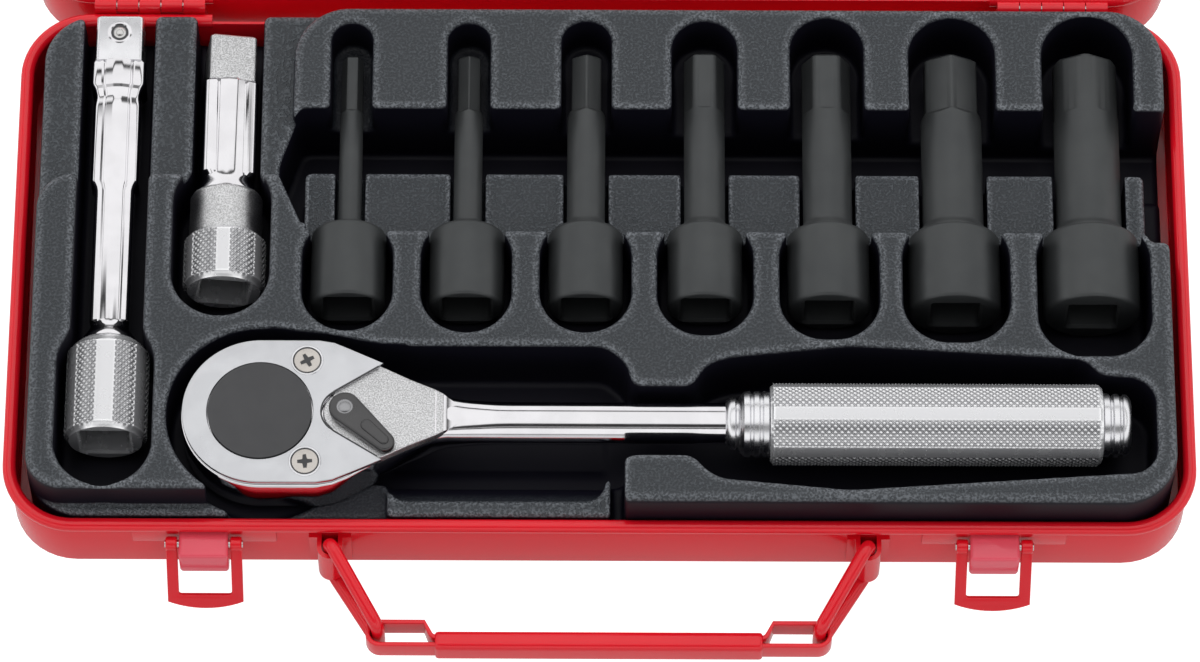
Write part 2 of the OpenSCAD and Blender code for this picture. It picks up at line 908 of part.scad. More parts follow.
// Square opening of a drive end, with the round relief at its bottom
module drive_socket(deep) {
    translate([-drive_hole / 2, -cut, -drive_hole / 2])
        cube([drive_hole, deep + cut, drive_hole]);
    along_y(deep - 0.1, deep + 2, 5.5);
}

// Bar lying along Y: knurled socket end at y = 0, square end at y = length
module bar(len, knurl, neck, neck_r, shank_r, collar_r, turn) {
    square_l = 13.4;
    difference() {
        union() {
            along_y(0, knurl, knurl_r);
            along_y(knurl - 0.1, knurl + 2, knurl_r - 1.4);
            along_y(knurl + 1.9, knurl + 4, knurl_r - 3.6);
            along_y(knurl + 3.9, neck, neck_r);
            along_y(neck - 0.1, len - square_l, shank_r);
            along_y(len - square_l - 7, len - square_l, collar_r);
            rotate([0, turn, 0])
                translate([-drive_side / 2, len - square_l - 0.1, -drive_side / 2])
                    cube([drive_side, square_l + 0.1, drive_side]);
        }
        drive_socket(15);
        rotate([0, turn, 0])
            translate([0, len - 5.6, 0])
                cylinder(r = 2.3, h = 20);
    }
}

module long_bar() {
    color([0.8, 0.8, 0.82])
        translate([long_x, long_y, bar_z])
            bar(long_bar_l, 26, 73.5, 5, 6.3, 7.3, 0);
}

module long_bar_ball() {
    color([0.75, 0.75, 0.77])
        translate([long_x, long_y + long_bar_l - 5.6, bar_z + drive_side / 2 - 1.3])
            sphere(2.2);
}

module long_bar_spring() {
    color([0.6, 0.6, 0.62])
        translate([long_x, long_y + long_bar_l - 5.6, bar_z])
            spring_tube(1.5, 1.8);
}

// The short bar lies turned about its length, its ball underneath
module short_bar() {
    color([0.8, 0.8, 0.82])
        translate([short_x, short_y, bar_z])
            difference() {
                union() {
                    bar(short_bar_l, 15, 28, 9, 7.3, 7.3, 180 + short_turn);
                    along_y(14.9, 28, 9.6);
                }
                drive_socket(15);
            }
}

module short_bar_ball() {
    color([0.75, 0.75, 0.77])
        translate([short_x, short_y + short_bar_l - 5.6, bar_z])
            rotate([0, 180 + short_turn, 0])
                translate([0, 0, drive_side / 2 - 1.3])
                    sphere(2.2);
}

module short_bar_spring() {
    color([0.6, 0.6, 0.62])
        translate([short_x, short_y + short_bar_l - 5.6, bar_z])
            rotate([0, 180 + short_turn, 0])
                spring_tube(1.5, 1.8);
}

// ---------------------------------------------------------------- hex bits

module hex_bit(i) {
    r = body_dias[i] / 2;
    shank = shank_dias[i] / 2;
    body_l = 22.4;
    hex_l = 16.4;
    color([0.2, 0.21, 0.21])
        translate([bit_xs[i], bit_end, bit_top - r])
            difference() {
                union() {
                    along_y(0, body_l - 1.8, r);
                    rotate([-90, 0, 0])
                        rotate_extrude()
                            intersection() {
                                square([r, body_l]);
                                union() {
                                    square([r - 1.8, body_l]);
                                    translate([r - 1.8, body_l - 1.8])
                                        circle(1.8);
                                }
                            }
                    along_y(body_l - 0.1, bit_l - hex_l, shank);
                    translate([0, bit_l - hex_l - 0.1, 0])
                        rotate([-90, corner_up[i] * 30, 0])
                            cylinder(r = hex_sizes[i] / sqrt(3), h = hex_l + 0.1, $fn = 6);
                }
                drive_socket(15);
            }
}

// ---------------------------------------------------------------- drawing

case_body();
case_lid();
hinge_base_leaves();
hinge_lid_leaves();
hinge_pins();
latch_hook(-latch_x);  // latch_hook_left
latch_hook(latch_x);  // latch_hook_right
latch_pins();
latch_bail(-latch_x);  // latch_bail_left
latch_bail(latch_x);  // latch_bail_right
lid_catches();
handle_staples();
handle_link(-1);  // handle_link_left
handle_link(1);  // handle_link_right
handle_band();
handle_cover();
insert_tray();
ratchet_body();
ratchet_cover_plate();
ratchet_cover_screws();
ratchet_drive_gear();
ratchet_drive_ball();
ratchet_ball_spring();
ratchet_pawl();
ratchet_pawl_plunger();
ratchet_pawl_spring();
ratchet_reverse_lever();
ratchet_lever_rivet();
long_bar();
long_bar_ball();
long_bar_spring();
short_bar();
short_bar_ball();
short_bar_spring();
hex_bit(0);  // hex_bit_05
hex_bit(1);  // hex_bit_06
hex_bit(2);  // hex_bit_08
hex_bit(3);  // hex_bit_10
hex_bit(4);  // hex_bit_12
hex_bit(5);  // hex_bit_14
hex_bit(6);  // hex_bit_17
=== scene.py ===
"""Looks for the socket wrench set in its steel case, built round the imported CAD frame.

Shapes are given in millimetres, as in the design, and make_piece() turns them into metres. Camera,
lights and floor are in metres. The axes are the frame's: +X right, +Y back, +Z up.
"""

import json
import math

import bmesh
import bpy
import numpy as np
import openvdb
from mathutils import Matrix, Vector


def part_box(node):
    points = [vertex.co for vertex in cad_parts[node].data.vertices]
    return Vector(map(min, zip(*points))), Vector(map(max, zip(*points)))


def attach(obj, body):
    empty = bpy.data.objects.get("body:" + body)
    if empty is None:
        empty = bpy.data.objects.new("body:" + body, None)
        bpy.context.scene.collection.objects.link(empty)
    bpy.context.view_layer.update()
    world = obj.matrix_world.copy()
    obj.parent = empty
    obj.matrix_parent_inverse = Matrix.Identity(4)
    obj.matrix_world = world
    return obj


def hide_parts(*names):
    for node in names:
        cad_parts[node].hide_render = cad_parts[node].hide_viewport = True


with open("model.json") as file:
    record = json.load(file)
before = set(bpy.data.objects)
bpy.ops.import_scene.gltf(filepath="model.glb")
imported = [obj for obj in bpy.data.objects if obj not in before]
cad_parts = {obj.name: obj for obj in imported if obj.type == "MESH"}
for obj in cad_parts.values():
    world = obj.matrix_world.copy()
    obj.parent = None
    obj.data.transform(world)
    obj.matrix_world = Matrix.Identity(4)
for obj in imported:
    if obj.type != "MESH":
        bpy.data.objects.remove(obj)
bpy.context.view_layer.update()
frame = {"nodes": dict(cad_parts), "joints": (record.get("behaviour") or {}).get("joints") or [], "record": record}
MM = 0.001
UPRIGHT = Matrix.Rotation(math.radians(90), 4, "X")  # stands a form made along +Y up along +Z
JOINTS = {joint["name"]: joint for joint in frame["joints"]}


# ------------ places

def box_mm(node):
    """Lowest and highest corner of a CAD node in millimetres."""
    low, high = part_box(node)
    return np.array(low) / MM, np.array(high) / MM


def centre_mm(node):
    low, high = box_mm(node)
    return (low + high) / 2


def joint_mm(name):
    """Where a joint's axis passes, in millimetres."""
    return np.array(JOINTS[name]["pos_m"]) / MM


# ------------ shader nodes

class Nodes:
    """A node tree, with short ways to add what the looks share."""

    def __init__(self, tree):
        self.tree = tree

    def new(self, kind):
        return self.tree.nodes.new(kind)

    def feed(self, socket, value):
        """Gives a socket another node's output or a plain value."""
        if isinstance(value, bpy.types.NodeSocket):
            self.tree.links.new(value, socket)
        else:
            socket.default_value = value

    def math(self, operation, a, b, clamp=False):
        node = self.new("ShaderNodeMath")
        node.operation = operation
        node.use_clamp = clamp
        self.feed(node.inputs[0], a)
        self.feed(node.inputs[1], b)
        return node.outputs["Value"]

    def product(self, a, b):
        return self.math("MULTIPLY", a, b)

    def mix(self, factor, a, b):
        """A colour between a and b."""
        node = self.new("ShaderNodeMix")
        node.data_type = "RGBA"
        self.feed(node.inputs["Factor"], factor)
        self.feed(node.inputs["A"], a)
        self.feed(node.inputs["B"], b)
        return node.outputs["Result"]

    def ramp(self, value, span, result=(0.0, 1.0)):
        """Turns a value's way through a span into the way through a result, and stops at its ends."""
        node = self.new("ShaderNodeMapRange")
        node.inputs["From Min"].default_value = span[0]
        node.inputs["From Max"].default_value = span[1]
        node.inputs["To Min"].default_value = result[0]
        node.inputs["To Max"].default_value = result[1]
        self.feed(node.inputs["Value"], value)
        return node.outputs["Result"]

    def split(self, vector):
        node = self.new("ShaderNodeSeparateXYZ")
        self.feed(node.inputs["Vector"], vector)
        return node.outputs


class Look(Nodes):
    """A material, with the nodes that feed its principled shader."""

    def __init__(self, name, colour, roughness, metallic):
        self.material = bpy.data.materials.new(name)
        self.material.use_nodes = True
        self.material.diffuse_color = (*colour, 1)
        super().__init__(self.material.node_tree)
        self.put("Base Color", (*colour, 1))
        self.put("Roughness", roughness)
        self.put("Metallic", metallic)

    def put(self, name, value):
        self.feed(self.tree.nodes["Principled BSDF"].inputs[name], value)

    def place(self):
        return self.new("ShaderNodeTexCoord").outputs["Object"]

    def noise(self, scale, detail=3.0):
        """Noise of a given number of cells a metre."""
        texture = self.new("ShaderNodeTexNoise")
        texture.inputs["Scale"].default_value = scale
        texture.inputs["Detail"].default_value = detail
        self.feed(texture.inputs["Vector"], self.place())
        return texture.outputs["Fac"]

    def speckle(self, scale, rough_range):
        """Roughness that wanders between two values."""
        self.put("Roughness", self.ramp(self.noise(scale, 4.0), (0.3, 0.7), rough_range))

    def vary_colour(self, factor, low, high):
        self.put("Base Color", self.mix(factor, (*low, 1), (*high, 1)))

    def bump(self, height, depth_mm, strength, under=None):
        node = self.new("ShaderNodeBump")
        node.inputs["Strength"].default_value = strength
        node.inputs["Distance"].default_value = depth_mm * MM
        self.feed(node.inputs["Height"], height)
        if under:
            self.feed(node.inputs["Normal"], under)
        self.put("Normal", node.outputs["Normal"])
        return node.outputs["Normal"]


# ------------ camera, floor and lights

def make_camera():
    """The photograph's view: from the front, steep, with a long lens."""
    elevation = math.radians(64.32)
    roll = math.radians(0.22)
    distance = 1.7075
    target = Vector((0, -0.021, 0.029))
    data = bpy.data.cameras.new("camera")
    data.sensor_width = 36
    data.lens = 192.97
    camera = bpy.data.objects.new("camera", data)
    bpy.context.scene.collection.objects.link(camera)
    back = Vector((0, -math.cos(elevation), math.sin(elevation)))
    turn = Matrix.Rotation(math.pi / 2 - elevation, 4, "X") @ Matrix.Rotation(roll, 4, "Z")
    camera.matrix_world = Matrix.Translation(target + distance * back) @ turn
    bpy.context.scene.camera = camera


def softbox(name, place, aim, width, depth, radiance):
    """A rectangular soft light that shines with the given radiance towards aim."""
    data = bpy.data.lights.new(name, "AREA")
    data.shape = "RECTANGLE"
    data.size = width
    data.size_y = depth
    data.energy = radiance * math.pi * width * depth
    light = bpy.data.objects.new(name, data)
    bpy.context.scene.collection.objects.link(light)
    light.location = place
    light.rotation_euler = (Vector(aim) - Vector(place)).to_track_quat("-Z", "Y").to_euler()
    light.visible_camera = False
    light.visible_glossy = False
    return light


def make_lights():
    aim = (0, 0, 0.02)
    softbox("light_top", (0, 0.75, 1.8), aim, 1.9, 2.0, 1.5)
    softbox("light_left", (-1.9, 0.1, 0.75), aim, 1.6, 0.8, 1.5)
    softbox("light_right", (1.9, 0.1, 0.75), aim, 1.6, 0.8, 1.3)
    softbox("light_front", (0, -1.9, 0.75), aim, 2.6, 0.7, 0.75)


def make_studio():
    """White tent that shiny faces reflect: open at the front, with a dark seam between roof and walls."""
    world = bpy.data.worlds.new("studio")
    bpy.context.scene.world = world
    world.use_nodes = True
    tree = Nodes(world.node_tree)
    tree.tree.nodes.clear()
    direction = tree.split(tree.new("ShaderNodeTexCoord").outputs["Generated"])
    up, back = direction["Z"], direction["Y"]
    walls = tree.ramp(up, (0.02, 0.16), (0.10, 1.0))
    below_seam = tree.ramp(up, (0.60, 0.64), (1.0, 0.0))
    above_seam = tree.ramp(up, (0.68, 0.74))
    seam = tree.math("ADD", below_seam, above_seam, clamp=True)
    in_front = tree.ramp(back, (-0.46, -0.36), (1.0, 0.0))
    raised = tree.product(tree.ramp(up, (0.70, 0.76)), tree.ramp(up, (0.90, 0.95), (1.0, 0.0)))
    closed = tree.math("SUBTRACT", 1.0, tree.product(in_front, raised))
    tent = tree.product(tree.product(walls, seam), closed)
    strength = tree.ramp(tent, (0.0, 1.0), (0.05, 1.25))
    glossy = tree.new("ShaderNodeCombineColor")
    for channel in ("Red", "Green", "Blue"):
        tree.feed(glossy.inputs[channel], strength)
    ray = tree.new("ShaderNodeLightPath").outputs
    lit = tree.mix(ray["Is Glossy Ray"], (0.66, 0.67, 0.69, 1), glossy.outputs["Color"])
    background = tree.new("ShaderNodeBackground")
    tree.feed(background.inputs["Color"], tree.mix(ray["Is Camera Ray"], lit, (1, 1, 1, 1)))
    output = tree.new("ShaderNodeOutputWorld")
    tree.feed(output.inputs["Surface"], background.outputs["Background"])


def make_floor():
    side = 6.0
    mesh = bpy.data.meshes.new("floor")
    corners = [(-side, -side, 0), (side, -side, 0), (side, side, 0), (-side, side, 0)]
    mesh.from_pydata(corners, [], [(0, 1, 2, 3)])
    floor = bpy.data.objects.new("floor", mesh)
    bpy.context.scene.collection.objects.link(floor)
    look = Look("floor_white", (0.4, 0.4, 0.4), 0.9, 0.0)
    look.put("Specular IOR Level", 0.1)
    look.put("Emission Color", (1, 1, 1, 1))
    seen = look.new("ShaderNodeLightPath").outputs["Is Camera Ray"]
    look.put("Emission Strength", look.ramp(seen, (0.0, 1.0), (0.38, 1.0)))
    look.speckle(60.0, (0.86, 0.94))
    mesh.materials.append(look.material)


# ------------ materials

FINE_GRAIN = (1500, 2.0, 0.006, 0.4)


def mottled(look, patches, low, high, spots, rough_range, grain=FINE_GRAIN):
    """Soft patches of colour and shine. The grain is a noise's scale and detail, a depth and a strength."""
    scale, detail, depth, strength = grain
    look.vary_colour(look.noise(patches), low, high)
    look.speckle(spots, rough_range)
    look.bump(look.noise(scale, detail), depth, strength)
    return look.material


def red_paint(name, low, high):
    """Glossy red enamel with faint orange peel."""
    look = Look(name, high, 0.2, 0.0)
    look.put("Specular IOR Level", 0.35)
    look.put("Coat Weight", 0.2)
    look.put("Coat Roughness", 0.08)
    return mottled(look, 35, low, high, 140, (0.16, 0.26), (620, 1.0, 0.02, 0.35))


def tray_plastic():
    """Leather grain on what faces up above the pockets, with a painted highlight on the rounded edges; smooth
    below and on the walls, which are painted nearly black as painted shade.
    """
    look = Look("tray_grain", (0.02, 0.022, 0.027), 0.5, 0.0)
    worms = look.noise(1500, 1.5)
    broad = look.ramp(look.noise(260, 2.0), (0.35, 0.65), (0.65, 1.0))
    grain = look.product(look.ramp(worms, (0.43, 0.60)), broad)
    geometry = look.new("ShaderNodeNewGeometry").outputs
    faces_up = look.ramp(look.split(geometry["Normal"])["Z"], (0.25, 0.7))
    high = look.ramp(look.split(look.place())["Z"], (0.0205, 0.0245))
    top = look.product(faces_up, high)
    leather = look.mix(grain, (0.014, 0.017, 0.021, 1), (0.046, 0.053, 0.060, 1))
    # Convex edges, found by pointiness, are lightened towards pale grey: a painted highlight along the rounded
    # edges.
    edge = look.ramp(geometry["Pointiness"], (0.503, 0.53))
    painted_edge_highlight = look.product(edge, look.ramp(worms, (0.40, 0.60), (0.15, 1.0)))
    leather_with_painted_highlight = look.mix(painted_edge_highlight, leather, (0.15, 0.16, 0.175, 1))
    # Walls and pocket floors take a nearly black colour: painted shade in the recesses.
    look.put("Base Color", look.mix(top, (0.0035, 0.0032, 0.0070, 1), leather_with_painted_highlight))
    look.put("Roughness", look.ramp(top, (0.0, 1.0), (0.50, 0.46)))
    look.put("Specular IOR Level", look.ramp(top, (0.0, 1.0), (0.16, 0.5)))
    look.bump(look.product(grain, top), 0.22, 1.0)
    return look.material


def chrome(name, colour, rough_range, grit=0.0, grit_scale=0.0):
    """Bright plating with faint polishing marks; grit makes it blasted, in dark and light grains."""
    look = Look(name, colour, rough_range[0], 1.0)
    low = tuple((0.55 if grit else 0.94) * c for c in colour)
    patches = look.noise(grit_scale if grit else 120, 2.0)
    look.vary_colour(look.ramp(patches, (0.40, 0.60)), low, colour)
    look.speckle(160, rough_range)
    under = look.bump(look.noise(700, 3.0), 0.004, 0.35)
    if grit:
        look.bump(look.noise(grit_scale, 2.0), grit, 0.9, under)
    return look.material


def knurled_chrome():
    """Plating whose colour is darkened in the valleys between the diamonds, as painted shade, and left bright on
    their tips.
    """
    look = Look("chrome_knurled", (0.80, 0.80, 0.81), 0.25, 0.7)
    pointiness = look.new("ShaderNodeNewGeometry").outputs["Pointiness"]
    # Pointiness darkens the valleys: painted shade between the diamonds.
    look.vary_colour(look.ramp(pointiness, (0.44, 0.54)), (0.16, 0.16, 0.17), (0.88, 0.88, 0.89))
    look.speckle(300, (0.20, 0.30))
    scale, detail, depth, strength = FINE_GRAIN
    look.bump(look.noise(scale, detail), depth, strength)
    return look.material


make_camera()
make_lights()
make_studio()
make_floor()
RED = red_paint("red_enamel", (0.64, 0.004, 0.013), (0.72, 0.006, 0.016))
# Lighter, pinker enamel for the hooks: a painted sheen standing for the light their faces reflect.
HOOK_PAINTED_SHEEN = red_paint("red_enamel_painted_sheen", (0.66, 0.05, 0.08), (0.76, 0.10, 0.14))
TRAY = tray_plastic()
CHROME = chrome("tool_chrome", (0.70, 0.69, 0.71), (0.07, 0.13))
SATIN = chrome("chrome_satin", (0.74, 0.74, 0.76), (0.22, 0.32))
BLASTED = chrome("chrome_blasted", (0.72, 0.72, 0.73), (0.34, 0.46), 0.08, 3000)
GROUND = chrome("chrome_ground", (0.54, 0.545, 0.565), (0.18, 0.28))
SCREW = chrome("screw_nickel", (0.52, 0.49, 0.46), (0.20, 0.30))
GLOSS_BLACK = mottled(Look("gloss_black", (0.075, 0.075, 0.078), 0.22, 0.85),
                      110, (0.062, 0.062, 0.064), (0.090, 0.088, 0.088), 300, (0.18, 0.28))
OXIDE = mottled(Look("black_oxide", (0.05, 0.053, 0.054), 0.45, 0.55),
                75, (0.041, 0.044, 0.046), (0.060, 0.063, 0.063), 210, (0.40, 0.55),
                (2600, 3.0, 0.012, 0.45))
# Matt black: the drive gear's own black disc, and also the dark rings and strips laid in gaps and recesses as
# painted shade.
DISC_AND_SHADE = mottled(Look("disc_black_and_painted_shade", (0.034, 0.034, 0.036), 0.5, 0.0),
               60, (0.029, 0.029, 0.031), (0.038, 0.038, 0.040), 260, (0.44, 0.58),
               (1900, 2.0, 0.008, 0.4))
KNURLED = knurled_chrome()
RIVET = chrome("rivet_nickel", (0.30, 0.30, 0.31), (0.20, 0.30))
STEEL = mottled(Look("pin_steel", (0.58, 0.57, 0.56), 0.25, 1.0),
                300, (0.50, 0.49, 0.48), (0.62, 0.61, 0.60), 400, (0.18, 0.34))


# ------------ building pieces

def make_piece(name, parts, body, nodes, sharp=40):
    """One object from (vertices, faces, material) parts, with its body and what it replaces."""
    materials = []
    vertices, faces, index = [], [], []
    for part_vertices, part_faces, material in parts:
        if material not in materials:
            materials.append(material)
        offset = len(vertices)
        vertices.extend(map(tuple, np.asarray(part_vertices, float) * MM))
        faces.extend(tuple(offset + k for k in face) for face in part_faces)
        index.extend([materials.index(material)] * len(part_faces))
    mesh = bpy.data.meshes.new(name)
    mesh.from_pydata(vertices, [], faces)
    for material in materials:
        mesh.materials.append(material)
    mesh.polygons.foreach_set("material_index", index)
    mesh.update()
    tool = bmesh.new()
    tool.from_mesh(mesh)
    bmesh.ops.recalc_face_normals(tool, faces=tool.faces)
    tool.to_mesh(mesh)
    tool.free()
    mesh.shade_smooth()
    mesh.set_sharp_from_angle(angle=math.radians(sharp))
    piece = bpy.data.objects.new(name, mesh)
    bpy.context.scene.collection.objects.link(piece)
    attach(piece, body)
    if nodes:
        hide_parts(*nodes)
    return piece


def loft(rings, closed=False):
    """Quads between rings of equal length. An open loft gets a face at each end."""
    count = len(rings[0])
    vertices = np.concatenate([np.asarray(ring, float) for ring in rings])
    faces = []
    spans = len(rings) if closed else len(rings) - 1
    for k in range(spans):
        low, high = k * count, (k + 1) % len(rings) * count
        for i in range(count):
            j = (i + 1) % count
            faces.append((low + i, low + j, high + j, high + i))
    if not closed:
        faces.append(tuple(range(count - 1, -1, -1)))
        faces.append(tuple(range(len(vertices) - count, len(vertices))))
    return vertices, faces


def angles(sides):
    return np.arange(sides) * 2 * math.pi / sides


def turned(profile, sides):
    """A turned form along +Y. Each station is (y, radius), where radius may be one number for each side."""
    angle = angles(sides)
    rings = []
    for y, radius in profile:
        rings.append(np.stack([radius * np.sin(angle), np.full(sides, float(y)), radius * np.cos(angle)], 1))
    return loft(rings)


def flats(sides, count, apothem, corner_angle, corner_cut):
    """Radii of a regular polygon with rounded-off corners, for turned()."""
    step = 2 * math.pi / count
    local = (angles(sides) - corner_angle) % step - step / 2
    radius = apothem / np.cos(local)
    return np.minimum(radius, corner_cut * apothem / math.cos(step / 2))


def moved(part, matrix):
    vertices, faces = part
    matrix = np.array(matrix)
    return vertices @ matrix[:3, :3].T + matrix[:3, 3], faces


def spun(stations, sides, where, material):
    """A turned form, moved to its place, as a part for make_piece()."""
    return *moved(turned(stations, sides), where), material


def place(x, y, z, turn=0.0, axis="Z"):
    return Matrix.Translation((x, y, z)) @ Matrix.Rotation(math.radians(turn), 4, axis)


def rounded_path(points, radius, steps=6, closed=False):
    """A line of points with each corner eased over the given radius."""
    points = [np.asarray(p, float) for p in points]
    count = len(points)
    result = []
    for k in range(count):
        if not closed and k in (0, count - 1):
            result.append(points[k])
            continue
        here = points[k]
        ends = []
        for way in (points[k - 1] - here, points[(k + 1) % count] - here):
            length = np.linalg.norm(way)
            ends.append(here + way / length * min(radius, 0.48 * length))
        start, end = ends
        for s in np.linspace(0, 1, steps + 1):
            result.append((1 - s) ** 2 * start + 2 * s * (1 - s) * here + s * s * end)
    return result


def sweep(path, section, up, closed=False):
    """Carries a section of (across, up) pairs along a flat path whose plane has the normal up."""
    path = np.asarray(path, float)
    up = np.asarray(up, float)
    rings = []
    for k in range(len(path)):
        before = path[k - 1] if closed or k else path[k]
        after = path[(k + 1) % len(path)] if closed or k < len(path) - 1 else path[k]
        along = (after - before) / np.linalg.norm(after - before)
        across = np.cross(along, up)
        rings.append([path[k] + a * across + b * up for a, b in section])
    return loft(rings, closed)


def round_section(radius, sides=20):
    return [(radius * math.cos(a), radius * math.sin(a)) for a in angles(sides)]


def strip_section(thick, low, high, ease):
    """A flat strip's section, with eased corners."""
    corners = [(-thick / 2, low), (thick / 2, low), (thick / 2, high), (-thick / 2, high)]
    return [tuple(p) for p in rounded_path(corners, ease, 3, True)]


def arc(centre, radius, start, end, steps):
    """Points round an arc between two angles in degrees."""
    turn = np.radians(np.linspace(start, end, steps + 1))
    return [(centre[0] + radius * math.cos(a), centre[1] + radius * math.sin(a)) for a in turn]


def plate(outlines, low, high, bevel, steps=3):
    """A flat plate with bevelled edges. The first outline is its edge and the others are holes."""
    curve = bpy.data.curves.new("plate", "CURVE")
    curve.dimensions = "2D"
    curve.fill_mode = "BOTH"
    curve.extrude = (high - low) / 2 - bevel
    curve.bevel_depth = bevel
    curve.bevel_resolution = steps
    curve.offset = -bevel
    for outline in outlines:
        spline = curve.splines.new("POLY")
        spline.points.add(len(outline) - 1)
        for point, (x, y) in zip(spline.points, outline):
            point.co = (x, y, 0, 1)
        spline.use_cyclic_u = True
    holder = bpy.data.objects.new("plate", curve)
    mesh = bpy.data.meshes.new_from_object(holder)
    tool = bmesh.new()
    tool.from_mesh(mesh)
    bmesh.ops.remove_doubles(tool, verts=tool.verts, dist=0.002)
    vertices = np.array([v.co for v in tool.verts]) + (0, 0, (low + high) / 2)
    faces = [tuple(v.index for v in face.verts) for face in tool.faces]
    tool.free()
    bpy.data.objects.remove(holder)
    bpy.data.curves.remove(curve)
    bpy.data.meshes.remove(mesh)
    return vertices, faces


def rounded_rect(half_x, half_y, radius, steps=10):
    """Counter-clockwise outline of a rounded rectangle."""
    result = []
    for k, (sx, sy) in enumerate([(1, 1), (-1, 1), (-1, -1), (1, -1)]):
        middle = (sx * (half_x - radius), sy * (half_y - radius))
        result += arc(middle, radius, 90 * k, 90 * k + 90, steps)
    return result


def rounded_block(low, high, ease, steps=3):
    """A block with every edge rounded."""
    low, high = np.asarray(low, float), np.asarray(high, float)
    middle, half = (low + high) / 2, (high - low) / 2
    rings = []
    for k in range(steps + 1):
        a = math.pi / 2 * k / steps
        inset, drop = ease * (1 - math.sin(a)), ease * (1 - math.cos(a))
        outline = rounded_rect(half[0] - inset, half[1] - inset, max(ease - inset, 0.05), 4)
        rings.append([(middle[0] + x, middle[1] + y, low[2] + drop) for x, y in outline])
    rings += [[(x, y, low[2] + high[2] - z) for x, y, z in ring] for ring in reversed(rings)]
    return loft(rings)


# ------------ case

BASE_HIGH = box_mm("case_body")[1]
HINGE_Y = joint_mm("lid_hinge")[1]
RIM_R = 1.8
RIM_Y = BASE_HIGH[1] - RIM_R
RIM_Z = BASE_HIGH[2] - RIM_R
RIM_GAP = 106.0
CORNER_R = 19.0
WALL_IN = 1.6
SHEET = 1.0
BEND = 1.4


def half_case():
    """Walls and floor of bent sheet, and the rolled rim, which leaves the middle of the back open."""
    wall_x, wall_y = BASE_HIGH[0] - WALL_IN, BASE_HIGH[1] - WALL_IN
    wall_r = CORNER_R - WALL_IN
    top = RIM_Z - 0.3
    turn = np.linspace(0, math.pi / 2, 7)
    inner_r = BEND - SHEET
    outer = [(BEND * (1 - math.sin(a)), BEND * (1 - math.cos(a))) for a in turn]
    inner = [(BEND - inner_r * math.sin(a), BEND - inner_r * math.cos(a)) for a in turn[::-1]]
    lip = [(0, top - 0.4), (0.15, top - 0.1), (0.5, top), (0.85, top - 0.1), (SHEET, top - 0.4)]
    rings = []
    for inset, z in outer + lip + inner:
        outline = rounded_rect(wall_x - inset, wall_y - inset, wall_r - inset)
        rings.append([(x, y, z) for x, y in outline])
    straight_x, straight_y = BASE_HIGH[0] - CORNER_R, BASE_HIGH[1] - CORNER_R
    bend = CORNER_R - RIM_R
    path = [(-RIM_GAP, RIM_Y)]
    for start, sx, sy in ((90, -1, 1), (180, -1, -1), (270, 1, -1), (0, 1, 1)):
        path += arc((sx * straight_x, sy * straight_y), bend, start, start + 90, 14)
    path += [(RIM_GAP, RIM_Y)]
    rim = sweep([(x, y, RIM_Z) for x, y in path], round_section(RIM_R, 24), (0, 0, 1))
    return [loft(rings), rim]


def behind_hinge(part):
    """The lid is the base's mirror twin about the hinge line while it lies open."""
    vertices, faces = part
    return vertices * (1, -1, 1) + (0, 2 * HINGE_Y, 0), faces


def make_case():
    parts = half_case()
    make_piece("case_shell", [(*part, RED) for part in parts], "case", ["case_body"])
    lid = [(*behind_hinge(part), RED) for part in parts]
    make_piece("lid_shell", lid, "lid", ["case_lid"])


def make_latch(side):
    """Folded hook on its welded plate, and the bail that hangs from the pin."""
    low, high = box_mm(f"latch_hook_{side}")
    x = (low[0] + high[0]) / 2
    wall = high[1]
    pin_y, pin_z = centre_mm("latch_pins")[1:]
    hook_w, plate_t = 13.0, 0.7
    plate_low = 14.5
    backing = rounded_block((low[0], wall - plate_t, plate_low), (high[0], wall, high[2] - 0.1), 0.3)
    sheet = 0.9
    outer = rounded_block((x - hook_w / 2, low[1], low[2]), (x + hook_w / 2, wall + 1, high[2]), 1.0, 4)
    lip_low = np.array((x - hook_w / 2 + sheet, low[1] + sheet, low[2] - 0.02))
    lip_high = np.array((x + hook_w / 2 - sheet, wall - 1, low[2] + 0.4))
    hollow = rounded_block(lip_low, lip_high, 0.19)
    # The hook's outer fold gets the lighter enamel, a painted sheen; the plate and the inside of the fold keep the
    # plain red.
    parts = [(*backing, RED), (*outer, HOOK_PAINTED_SHEEN), (*hollow, RED)]
    make_piece(f"latch_hook_{side}_folded", parts, "case", [f"latch_hook_{side}"])

    length, width, arm, bar_h = 20.6, 20.0, 3.0, 4.4
    thick, eye, lean, bulge_r = 1.2, 1.9, 31.0, 25.0
    half = width / 2
    bulge = math.degrees(math.asin(half / bulge_r))
    outline = arc((0, bulge_r - length), bulge_r, 270 - bulge, 270 + bulge, 12)
    outline += [(half, -0.2), (-half, -0.2)]
    foot, reach = bar_h - length, half - arm
    window = [(-reach, foot), (-reach, -0.6), (reach, -0.6), (reach, foot)]
    window = [tuple(p) for p in rounded_path(window, 0.8, 3, True)]
    bail = plate([outline, window], -thick / 2, thick / 2, 0.3)
    hung = place(x, pin_y, pin_z, -lean, "X") @ UPRIGHT
    parts = [(*moved(bail, hung), RED)]
    for s in (-1, 1):
        end, ease = arm / 2, 0.3
        curl = turned([(-end, eye - ease), (ease - end, eye), (end - ease, eye), (end, eye - ease)], 24)
        middle = x + s * (half - arm / 2)
        parts.append((*moved(curl, place(middle, pin_y, pin_z, 90)), RED))
    make_piece(f"latch_bail_{side}_plate", parts, f"bail_{side}", [f"latch_bail_{side}"])


def make_catches():
    low, high = box_mm("lid_catches")
    width, wall_gap = 12.6, 5.7
    parts = []
    for s in (-1, 1):
        x = s * (high[0] - width / 2)
        near = (x - width / 2, high[1] - wall_gap, low[2])
        far = (x + width / 2, high[1], high[2])
        parts.append((*rounded_block(near, far, 0.7), RED))
    make_piece("lid_catch_folds", parts, "lid", ["lid_catches"])


# ------------ handle

WIRE_R = 1.8


